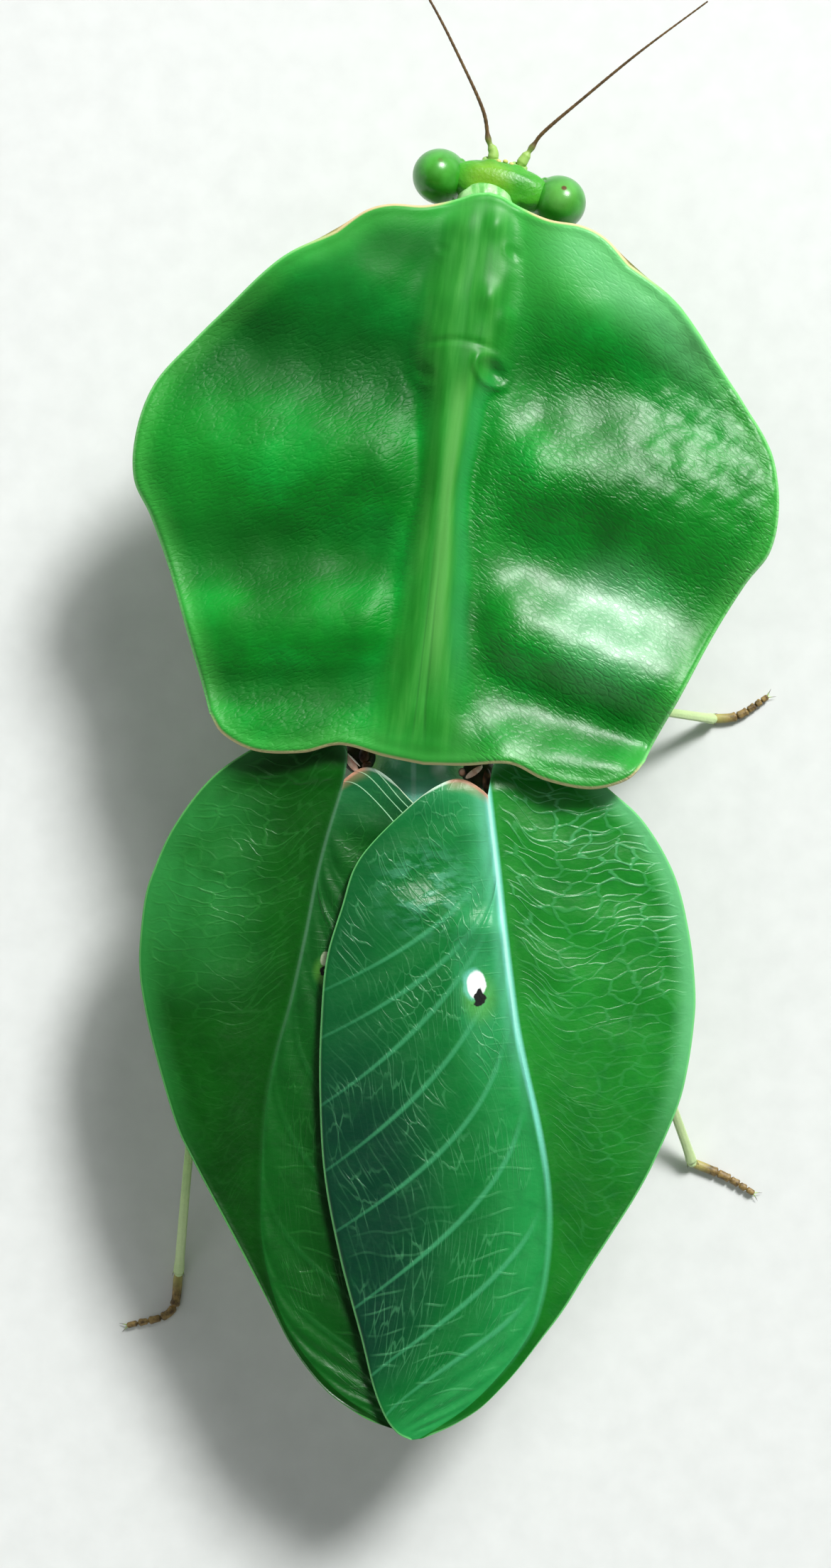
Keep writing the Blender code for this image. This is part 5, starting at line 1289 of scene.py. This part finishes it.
def makeHead():
    pieces = [upDown("skull", head["skull"], 120, 96, (0.45, 0.25), 0.92, skullRelief)]
    pieces.append(rollUp("vertex", head["vertex"], head["vertexSizes"], 80, 56, (0.4, 0.4)))
    pieces += [ball(*lobe) for lobe in head["lobes"]]
    pieces.append(upDown("lip", head["lip"], 40, 40, (0.3, 0.35), 0.85))
    palpGrooves = jointedRelief(head["palpJoints"], 0.07, 0.02)
    lipPalpGrooves = jointedRelief(head["lipPalpJoints"], 0.06, 0.025)
    for side in (-1, 1):
        jaw, palp, lipPalp = [
            [onSide(side, place) for place in head[key]] for key in ("jaw", "palp", "lipPalp")]
        place, radii = head["brow"]
        pieces.append(ball("brow", onSide(side, place), radii))
        pieces.append(rollUp("jaw", jaw, head["jawSizes"], 40, 24, (0.3, 0.25), (0, 1, 0)))
        place, radii = head["cheekBack"]
        pieces.append(ball("cheekBack", onSide(side, place), radii))
        pieces.append(rollUp("palp", palp, head["palpSizes"], 90, 20, (0.15, 0.2), (0, 1, 0),
                             relief=palpGrooves))
        pieces.append(rollUp("lipPalp", lipPalp, head["lipPalpSizes"], 60, 18, (0.12, 0.15), (0, 1, 0),
                             relief=lipPalpGrooves))
        place, (tip, roll, yaw), radii = head["feelerSocket"]
        pieces.append(ringAt(onSide(side, place), (tip, roll, side * yaw), 48, radii))
        place, radii, stretch = head["orbit"]
        pieces.append(ringAt(onSide(side, place), (0, 90 + side * head["eyeLean"], 0), 72, radii, stretch))
    piece = joinUp("headSkin", *pieces)
    apply(piece, "REMESH", mode="VOXEL", voxel_size=head["voxel"])
    apply(piece, "SMOOTH", factor=0.5, iterations=2)
    bpy.ops.object.shade_smooth()
    return piece


def headFinish():
    tones = headPaint
    finish, spot, colour, normal, rough = bodyFinish(
        "headGreen", tones["light"], tones["deep"], tones["underside"])
    crown = finish.near(spot, "head", (-0.7, 0.3, 1.6), 0.4, 1.8)
    colour = finish.mix(crown * 0.55, colour, tones["crown"])
    for side in (-1, 1):
        socket = finish.near(spot, "head", (side * 0.8, 1.6, 0.15), 0.4, 0.85)
        colour = finish.mix(socket * 0.6, colour, tones["socket"])
    mouth = finish.band(finish.part(spot, "Z"), 6.6, 4.6)
    colour = finish.mix(mouth * 0.5, colour, tones["mouth"])
    return finish.wear(colour=colour, roughness=rough, normal=normal)


def makeEye(side, word):
    return ball("eye" + word.title(), (side * head["eyeOut"], 0, 0), head["eyeRadii"],
                (0, side * head["eyeLean"], 0), 96, 64)


def eyeFinish(side, word):
    tones = headPaint
    finish = Finish("eyeGreen" + word.title(), roughness=0.3, coatWeight=0.2, coatRoughness=0.08)
    spot = finish.place()
    colour = finish.ramp(finish.noise(spot, 1.3, 3.0), *tones["eye"])
    below = finish.band(finish.part(spot, "Z"), 10.2, 8.2)
    colour = finish.mix(below * 0.8, colour, tones["eyeBelow"])
    # painted sheen on the eye's top
    top = finish.near(spot, "head", (side * 3.4, 0.25, 1.9), 0.3, 1.3)
    colour = finish.mix(top * tones["eyeTopShare"][word], colour, tones["eyeTop"])
    speck = finish.near(spot, "head", (side * 3.45, 0.6, 1.82), 0.1, 0.2)
    colour = finish.mix(speck * tones["speckShare"][word], colour, tones["speck"])
    facets = finish.cells(spot, 16.0, "F1")
    return finish.wear(colour=colour, normal=finish.bump(facets, 0.006, 0.5))


def makeOcelli():
    beads = [ball("ocellus", place, head["ocellusRadii"], segments=24, rings=16) for place in head["ocelli"]]
    return joinUp("ocelli", *beads)


def ocelliFinish():
    finish = Finish("ocelliAmber", roughness=0.1, coatWeight=0.5)
    return finish.wear(colour=finish.ramp(finish.noise(finish.place(), 3.0), *headPaint["amber"]))


setInPlace(makeHead(), "head", headFinish(), "head_green",
           "head", "mouthparts", "labrum", "palp_left", "palp_right")
for side, word in sides:
    setInPlace(makeEye(side, word), "head", eyeFinish(side, word), "eye_green", "eye_" + word)
setInPlace(makeOcelli(), "head", ocelliFinish(), "eye_green")
print("head made")


# Feelers

feelers = {
    "right": [(5.52, 32.72, 10.12), (5.75, 33.1, 10.15), (6.3, 33.9, 10.3), (6.9, 34.6, 10.6),
              (8.9, 36.2, 11.3), (11.9, 38.5, 12.4), (15.6, 41.1, 13.4)],
    "left": [(4.0, 33.0, 10.12), (4.08, 33.5, 10.15), (3.8, 34.2, 10.3), (3.5, 35.7, 10.8), (2.3, 38.2, 11.6),
             (0.6, 41.3, 12.6), (-2.0, 45.2, 13.6)],
    "sizes": [(0.0, 0.2, 0.2), (0.02, 0.3, 0.3), (0.05, 0.26, 0.26), (0.07, 0.14, 0.14), (0.09, 0.18, 0.18),
              (0.12, 0.11, 0.11), (0.4, 0.085, 0.085), (1.0, 0.05, 0.05)],
    "rings": 44, "ringDepth": 0.012,
    "brown": ((0.3, paint(74, 54, 30)), (0.7, paint(112, 86, 48))), "rootGreen": paint(150, 190, 92),
}


def feelerRings(angle, share):
    groove = hump((share * feelers["rings"]) % 1.0 - 0.5, 0.14)
    return -feelers["ringDepth"] * groove * smoothStep(0.1, 0.14, share)


def feelerFinish(name):
    finish = Finish(name, roughness=0.5)
    spot = finish.place()
    toTip = finish.part(finish.map("limbMap"), "Y")
    colour = finish.ramp(finish.noise(spot, 3.0, 3.0), *feelers["brown"])
    colour = finish.mix(1 - finish.band(toTip, 0.6, 1.6), colour, feelers["rootGreen"])
    return finish.wear(colour=colour, normal=finish.bump(finish.noise(spot, 14.0), 0.02, 0.7))


for side, word in sides:
    feeler = rollUp("feeler" + word.title(), feelers[word], feelers["sizes"], 500, 14, (0.05, 0.1),
                    relief=feelerRings)
    setInPlace(feeler, "whole", feelerFinish("feelerBrown" + word), "antenna_brown", "antenna_" + word)
print("feelers made")


# Spines and claws: one thorn, modelled once and copied

thorn = {
    "around": 8, "rings": 8, "curl": 0.22,
    "light": paint(178, 204, 118), "deep": paint(150, 192, 92), "tip": paint(58, 34, 18),
}


def makeThorn():                        # one millimetre long and wide at the root, on the origin
    nothingSelected()
    bpy.ops.mesh.primitive_cone_add(vertices=thorn["around"], radius1=0.5, radius2=0.03, depth=1.0,
                                    location=(0, 0, 0.5), end_fill_type="NGON")
    piece = bpy.context.object
    bpy.ops.object.transform_apply(location=True)
    bpy.ops.object.mode_set(mode="EDIT")
    bpy.ops.mesh.select_all(action="SELECT")
    bpy.ops.mesh.quads_convert_to_tris()
    bpy.ops.object.mode_set(mode="OBJECT")
    for cut in range(1, thorn["rings"]):
        takeUp(piece)
        bpy.ops.object.mode_set(mode="EDIT")
        bpy.ops.mesh.select_all(action="SELECT")
        bpy.ops.mesh.bisect(plane_co=(0, 0, cut / thorn["rings"]), plane_no=(0, 0, 1))
        bpy.ops.object.mode_set(mode="OBJECT")
    spots = spotsOf(piece)
    height = spots[:, 2].copy()
    slim = 1 - 0.35 * np.sin(np.pi * np.clip(height, 0, 1))
    moveTo(piece, spots[:, 0] * slim + thorn["curl"] * height ** 2, spots[:, 1] * slim, height)
    closeUp(piece, 0.0001)
    shape = spotsOf(piece).copy()
    faces = [tuple(face.vertices) for face in piece.data.polygons]
    bpy.data.objects.remove(piece)
    return shape, faces


thornShape, thornFaces = makeThorn()


def setThorns(name, thorns):            # thorns: (root, way out, way of the curl, length, width)
    spots, faces, tips = [], [], []
    for root, ahead, curl, length, width in thorns:
        ahead = np.array(ahead, float) / np.linalg.norm(ahead)
        curl = np.array(curl, float) - ahead * np.dot(curl, ahead)
        curl /= np.linalg.norm(curl)
        aside = np.cross(ahead, curl)
        shape = thornShape * (width, width, length)
        shape[:, 0] += thornShape[:, 2] ** 2 * thorn["curl"] * (length - width)
        faces += [tuple(len(spots) * len(thornShape) + corner for corner in face) for face in thornFaces]
        tips.append(thornShape[:, 2])
        spots.append(np.array(root) + shape[:, :1] * curl + shape[:, 1:2] * aside + shape[:, 2:] * ahead)
    mesh = bpy.data.meshes.new(name)
    mesh.from_pydata(np.vstack(spots).tolist(), [], faces)
    piece = bpy.data.objects.new(name, mesh)
    bpy.context.scene.collection.objects.link(piece)
    setValue(piece, "tip", np.concatenate(tips))
    takeUp(piece)
    bpy.ops.object.shade_smooth()
    return piece


def spineFinish(name):
    finish = Finish(name, roughness=0.3)
    tone = finish.band(finish.noise(finish.place(), 3.0), 0.3, 0.7)
    toTip = finish.band(finish.value("tip"), 0.3, 0.75)
    return finish.wear(colour=finish.mix(toTip, finish.mix(tone, thorn["deep"], thorn["light"]), thorn["tip"]))


# Grasping forelegs

foreleg = {
    "hip": (1.4, 21.6, 9.4), "elbow": (6.4, 28.4, 5.4), "knee": (9.8, 15.4, 4.6),
    "shin": [(9.7, 14.5, 3.7), (8.1, 15.7, 2.5), (6.2, 18.0, 1.9), (4.9, 20.8, 1.9)], "toe": (5.4, 26.2, 1.2),
    "coxa": [(0.0, 0.8, 1.1), (0.2, 0.95, 1.3), (0.4, 0.9, 1.2), (0.6, 0.8, 1.0), (0.85, 0.72, 0.85),
             (1.0, 0.5, 0.6)],
    "femur": [(0.0, 0.45, 0.5), (0.08, 0.62, 0.8), (0.2, 0.78, 1.25), (0.35, 0.85, 1.5), (0.5, 0.85, 1.4),
              (0.7, 0.78, 1.15), (0.85, 0.65, 0.85), (0.96, 0.55, 0.66), (1.0, 0.4, 0.5)],
    "tibia": [(0.0, 0.42, 0.48), (0.2, 0.52, 0.65), (0.4, 0.5, 0.6), (0.6, 0.45, 0.5), (0.8, 0.4, 0.42),
              (1.0, 0.22, 0.24)],
    # spine rows: first and last share, count, first and last length, how far aside
    "femurInner": (0.18, 0.9, 15, 1.15, 0.45, -0.55), "femurOuter": (0.26, 0.8, 4, 1.5, 0.75, 0.55),
    "discoidal": (0.22, 0.38, 4, 1.35, 1.0, 0.0),
    "tibiaInner": (0.16, 0.88, 13, 0.4, 0.95, -0.5), "tibiaOuter": (0.24, 0.9, 11, 0.42, 0.95, 0.5),
    "tarsusSizes": [(0.0, 0.2, 0.22), (0.4, 0.17, 0.18), (1.0, 0.12, 0.12)],
    "tarsusJoints": (0.42, 0.62, 0.76, 0.87),
    "hook": (0.93, 2.1, 0.55), "clawSize": (0.5, 0.11), "tilt": 0.9,
    "trochanter": (0.52, 0.62, 0.6), "kneeRadii": (0.42, 0.55, 0.5),
    "light": paint(126, 188, 82), "deep": paint(92, 160, 62),
}


def atRoute(route, share, upright):     # point, ahead, across and lower direction
    curve = smoothCurve(route) if len(route) > 2 else np.linspace(route[0], route[1], 25)
    point = atShare(curve, share)
    ahead = atShare(curve, min(1.0, share + 0.03)) - atShare(curve, max(0.0, share - 0.03))
    ahead /= np.linalg.norm(ahead)
    across = np.cross(ahead, upright)
    across /= np.linalg.norm(across)
    return point, ahead, across, np.cross(ahead, across)


def spineRow(route, sizes, upright, row, side):
    first, last, count, longest, shortest, aside = row
    thorns = []
    for index in range(count):
        part = index / (count - 1)
        share = first + (last - first) * part
        point, ahead, across, lower = atRoute(route, share, upright)
        width, depth = readTable(sizes, np.array([share]))[0]
        place = point + across * width * aside * side + lower * depth * math.sqrt(1 - aside * aside) * 0.96
        length = (longest + (shortest - longest) * part) * (1.0 if index % 2 else 0.72)
        direction = lower + across * aside * side * 0.7 + ahead * 0.35
        thorns.append((place - direction * 0.08, direction, ahead, length + 0.08, 0.2 + 0.12 * length))
    return thorns


def coxaRidges(angle, share):
    return 0.06 * hump(np.abs(np.cos(angle)) - 0.6, 0.12)


def cuttingEdge(angle, share):
    return 0.07 * hump(np.sin(angle) + 1, 0.12) - 0.05 * hump(np.cos(angle), 0.18) * (np.sin(angle) < 0)


def makeForeleg(side, word):
    mirror = np.array((side, 1, 1), float)
    hip, elbow, knee, toe = [np.array(foreleg[key]) * mirror for key in ("hip", "elbow", "knee", "toe")]
    shin = [np.array(point) * mirror for point in foreleg["shin"]]
    tilt = (side * foreleg["tilt"], 0.0, 1.0)
    shinTilt = (-side * foreleg["tilt"], 0.0, -1.0)
    coxa = rollUp("coxa", [hip - (elbow - hip) * 0.04, elbow], foreleg["coxa"], 90, 36, (0.5, 0.45),
                  relief=coxaRidges)
    trochanter = ball("trochanter", elbow + (knee - elbow) * 0.035, foreleg["trochanter"])
    femurRoute = [elbow + (knee - elbow) * 0.02, knee - (knee - elbow) * 0.005]
    femur = rollUp("femur", femurRoute, foreleg["femur"], 120, 48, (0.4, 0.4), tilt, relief=cuttingEdge)
    kneeBall = ball("knee", (knee + shin[0]) / 2, foreleg["kneeRadii"])
    shinRoute = [(knee + shin[0]) / 2] + shin
    tibia = rollUp("tibia", shinRoute, foreleg["tibia"], 100, 36, (0.3, 0.3), shinTilt, relief=cuttingEdge)
    start = shin[-1] * 0.97 + toe * 0.03
    middle = (start + toe) / 2 + np.array((0.15 * side, 0, 0.35))
    tarsus = rollUp("tarsus", [start - (toe - start) * 0.05, middle, toe], foreleg["tarsusSizes"], 120, 18,
                    (0.15, 0.15), relief=jointedRelief(foreleg["tarsusJoints"], 0.07, 0.012))
    leg = joinUp("foreleg" + word.title(), coxa, trochanter, femur, kneeBall, tibia, tarsus)
    thorns = []
    for key in ("femurInner", "femurOuter", "discoidal"):
        thorns += spineRow(femurRoute, foreleg["femur"], tilt, foreleg[key], side)
    for key in ("tibiaInner", "tibiaOuter"):
        thorns += spineRow(shinRoute, foreleg["tibia"], shinTilt, foreleg[key], side)
    share, length, width = foreleg["hook"]
    point, ahead, across, lower = atRoute(shinRoute, share, shinTilt)
    thorns.append((point, ahead * 0.75 + lower * 0.8, lower, length, width))
    for way in (-1, 1):
        outward = (toe - middle) + np.array((0.9 * way, 0, -0.3))
        thorns.append((toe - (toe - middle) * 0.02, outward, (0, 0, -1), *foreleg["clawSize"]))
    return leg, setThorns("forelegSpines" + word.title(), thorns)


for side, word in sides:
    leg, spines = makeForeleg(side, word)
    nodes = ["fore_%s_%s" % (part, word) for part in ("coxa", "femur", "tibia", "tarsus")]
    forelegGreen = limbFinish("forelegGreen" + word, foreleg["light"], foreleg["deep"])
    setInPlace(leg, "front", forelegGreen, "leg_green", *nodes)
    setInPlace(spines, "front", spineFinish("spineTips" + word), "leg_green")
print("forelegs made")


# Walking legs

walking = {
    "femur": [(0.0, 0.4, 0.4), (0.12, 0.55, 0.58), (0.3, 0.6, 0.64), (0.6, 0.5, 0.52), (0.9, 0.4, 0.42),
              (1.0, 0.42, 0.45)],
    "tibia": [(0.0, 0.36, 0.4), (0.08, 0.3, 0.32), (0.5, 0.25, 0.26), (0.92, 0.27, 0.28), (1.0, 0.32, 0.32)],
    "toe": [(0.0, 0.24, 0.2), (0.1, 0.27, 0.23), (1.0, 0.17, 0.16)],
    "joints": (0.4, 0.6, 0.75, 0.87), "ankle": 0.62, "height": 0.27, "lowest": 0.02,
    "trochanter": (0.5, 0.5, 0.5), "kneeRadii": (0.42, 0.42, 0.42), "ankleRadii": (0.27, 0.27, 0.27),
    "clawSize": (0.55, 0.13), "spurSize": (0.55, 0.14),
    "light": paint(150, 200, 100), "deep": paint(108, 170, 74), "pale": paint(200, 218, 164),
    "tan": paint(150, 124, 70), "brown": paint(78, 60, 34), "footStart": paint(168, 160, 92),
}
legs = [
    # pair, side, knee, middle of the shin where it bows, then heel, middle and tip of the foot
    ("mid", 1, "right", (9.7, 3.4, 8.2), None, [(16.9, 2.6), (18.4, 2.8), (20.1, 3.9)]),
    ("mid", -1, "left", (8.6, 4.2, 8.2), None, [(12.6, 10.4), (13.4, 12.0), (14.0, 14.2)]),
    ("hind", 1, "right", (13.6, -8.6, 8.3), (13.6, -16.4, 4.6), [(15.7, -22.9), (17.6, -23.7), (19.3, -24.7)]),
    ("hind", -1, "left", (12.0, -14.9, 8.2), (13.0, -22.6, 4.9), [(13.8, -29.2), (14.3, -31.5), (16.8, -32.3)]),
]


def legRidge(angle, share):
    return 0.05 * hump(np.abs(np.cos(angle)) - 0.7, 0.1)


def footLobes(angle, share):
    swollen = sum(0.07 * hump(share - joint + 0.03, 0.03) for joint in walking["joints"])
    pinched = sum(0.12 * hump(share - joint, 0.012) for joint in walking["joints"])
    return swollen * (0.5 - 0.5 * np.sin(angle)) - pinched


def makeLeg(pair, side, word, knee, bow, foot):
    name = pair + "Leg" + word.title()
    mirror = np.array((side, 1, 1), float)
    socket = np.array(trunk[pair + "Socket"]) * mirror
    knee = np.array(knee) * mirror
    foot = [np.array((x * side, y, walking["height"])) for x, y in foot]
    ankle = foot[0] * (1, 1, 0) + np.array((0, 0, walking["ankle"]))
    trochanter = ball("trochanter", socket + (knee - socket) * 0.04, walking["trochanter"])
    femur = rollUp("femur", [socket, knee], walking["femur"], 90, 28, (0.3, 0.3), relief=legRidge)
    kneeLobe = ball("knee", knee, walking["kneeRadii"])
    middle = np.array(bow) * mirror if bow else (knee + ankle) / 2 + np.array((0, 0, 0.25))
    tibia = rollUp("tibia", [knee, middle, ankle + (0, 0, -0.1)], walking["tibia"], 110, 24, (0.25, 0.25),
                   relief=legRidge)
    ankleLobe = ball("ankle", (ankle + foot[0]) / 2, walking["ankleRadii"])
    leg = joinUp(name, trochanter, femur, kneeLobe, tibia, ankleLobe)
    toes = rollUp(name + "Foot", foot, walking["toe"], 180, 20, (0.2, 0.12), relief=footLobes)
    spots = spotsOf(toes)
    moveTo(toes, spots[:, 0], spots[:, 1], np.maximum(spots[:, 2], walking["lowest"]))
    ahead = foot[-1] - foot[-2]
    ahead /= np.linalg.norm(ahead)
    aside = np.cross(ahead, (0, 0, 1))
    tip = foot[-1] + (0, 0, -0.05)
    point, down, across, lower = atRoute([knee, middle, ankle], 0.985, (0, 0, 1))
    claws, spurs = [], []
    for way in (-1, 1):
        outward = ahead + aside * 0.55 * way + (0, 0, 0.12)
        claws.append((tip - ahead * 0.1, outward, (0, 0, -1), *walking["clawSize"]))
        outward = down + across * 0.5 * way
        spurs.append((point + across * 0.2 * way, outward, -across * way, *walking["spurSize"]))
    return leg, toes, setThorns(name + "Claws", claws + spurs)


for pair, side, word, knee, bow, foot in legs:
    leg, toes, claws = makeLeg(pair, side, word, knee, bow, foot)
    legGreen = limbFinish(leg.name + "Green", walking["light"], walking["deep"], pale=walking["pale"])
    footTan = brownFinish(toes.name + "Tan", walking["tan"], walking["brown"], 3.2, walking["footStart"])
    femur, tibia, tarsus = ["%s_%s_%s" % (pair, part, word) for part in ("femur", "tibia", "tarsus")]
    setInPlace(leg, "whole", legGreen, "leg_green", femur, tibia)
    setInPlace(toes, "whole", footTan, "foot_tan", tarsus)
    setInPlace(claws, "whole", spineFinish(claws.name + "Tips"), "foot_tan")
print("walking legs made")


# Floor, lights and camera

studio = {
    # the camera looks straight down: its height, what it aims at, the width in view and the height of
    # the plane that is measured for it, in millimetres
    "cameraHeight": 212.0, "aim": (-1.84, -5.39), "framed": 85.2, "plane": 12.0,
    "sensor": 36.0, "clip": (0.01, 20.0),
    # the floor, in metres: flat out to bowlFrom, then rising gently
    "floorRings": (0.02, 0.2, 0.6, 1.0, 1.3, 1.6, 1.9, 2.2, 2.5, 2.8, 3.0), "bowlFrom": 1.0, "bowlRise": 0.35,
    "floor": ((0.3, (0.66, 0.68, 0.66)), (0.7, (0.7, 0.72, 0.7))),
    "room": 0.12, "roomColour": (0.85, 0.92, 0.9, 1),
    # suns: name, direction toward the light, strength, width in degrees, shows in gloss
    "suns": [("keySun", (0.40, 0.61, 0.68), 3.1, 14.0, True),
             ("fillSun", (-0.35, -0.1, 0.93), 0.4, 60.0, False)],
    # soft boxes: name, place in millimetres, size, watts
    "boxes": [("windowBox", (150, 255, 290), 190, 1.0)],
}


def addLamp(kind, name, place, strength):       # a lamp that points at the origin
    nothingSelected()
    bpy.ops.object.light_add(type=kind, location=place)
    lamp = bpy.context.object
    lamp.name = name
    lamp.data.energy = strength
    lamp.rotation_euler = (-lamp.location).to_track_quat("-Z", "Y").to_euler()
    return lamp


def makeFloor():
    nothingSelected()
    rings = studio["floorRings"]
    bpy.ops.mesh.primitive_circle_add(vertices=64, radius=rings[0], fill_type="NGON")
    floor = bpy.context.object
    floor.name = "floor"
    bpy.ops.object.mode_set(mode="EDIT")
    for before, radius in zip(rings, rings[1:]):
        bpy.ops.mesh.select_all(action="DESELECT")
        bpy.ops.mesh.select_mode(type="EDGE")
        bpy.ops.mesh.select_non_manifold()
        bpy.ops.mesh.extrude_edges_move()
        bpy.ops.transform.resize(value=(radius / before, radius / before, 1))
    bpy.ops.object.mode_set(mode="OBJECT")
    spots = spotsOf(floor)
    beyond = np.maximum(0.0, np.hypot(spots[:, 0], spots[:, 1]) - studio["bowlFrom"])
    moveTo(floor, spots[:, 0], spots[:, 1], studio["bowlRise"] * beyond ** 2)
    takeUp(floor)
    bpy.ops.object.shade_smooth()
    finish = Finish("palePaper", roughness=0.7)
    pale = finish.ramp(finish.noise(finish.place(), 0.6, 3.0), *studio["floor"])
    floor.data.materials.append(finish.wear(colour=pale))


def makeStudio():
    makeFloor()
    for name, direction, strength, width, inGloss in studio["suns"]:
        lamp = addLamp("SUN", name, [value * 0.6 for value in direction], strength)
        lamp.data.angle = math.radians(width)
        lamp.visible_glossy = inGloss
    for name, place, size, power in studio["boxes"]:
        lamp = addLamp("AREA", name, [value * mm for value in place], power)
        lamp.data.size = size * mm
        lamp.visible_camera = False
    world = bpy.data.worlds.new("softRoom")
    bpy.context.scene.world = world
    world.use_nodes = True
    world.cycles_visibility.glossy = False
    room = world.node_tree.nodes["Background"]
    room.inputs["Color"].default_value = studio["roomColour"]
    room.inputs["Strength"].default_value = studio["room"]
    bpy.context.scene.view_settings.view_transform = "Standard"
    camera = bpy.data.cameras.new("photoCamera")
    camera.sensor_width = studio["sensor"]
    camera.lens = camera.sensor_width * (studio["cameraHeight"] - studio["plane"]) / studio["framed"]
    camera.clip_start, camera.clip_end = studio["clip"]
    eye = bpy.data.objects.new("photoCamera", camera)
    bpy.context.scene.collection.objects.link(eye)
    eye.location = (studio["aim"][0] * mm, studio["aim"][1] * mm, studio["cameraHeight"] * mm)
    bpy.context.scene.camera = eye


makeStudio()
print("studio made")
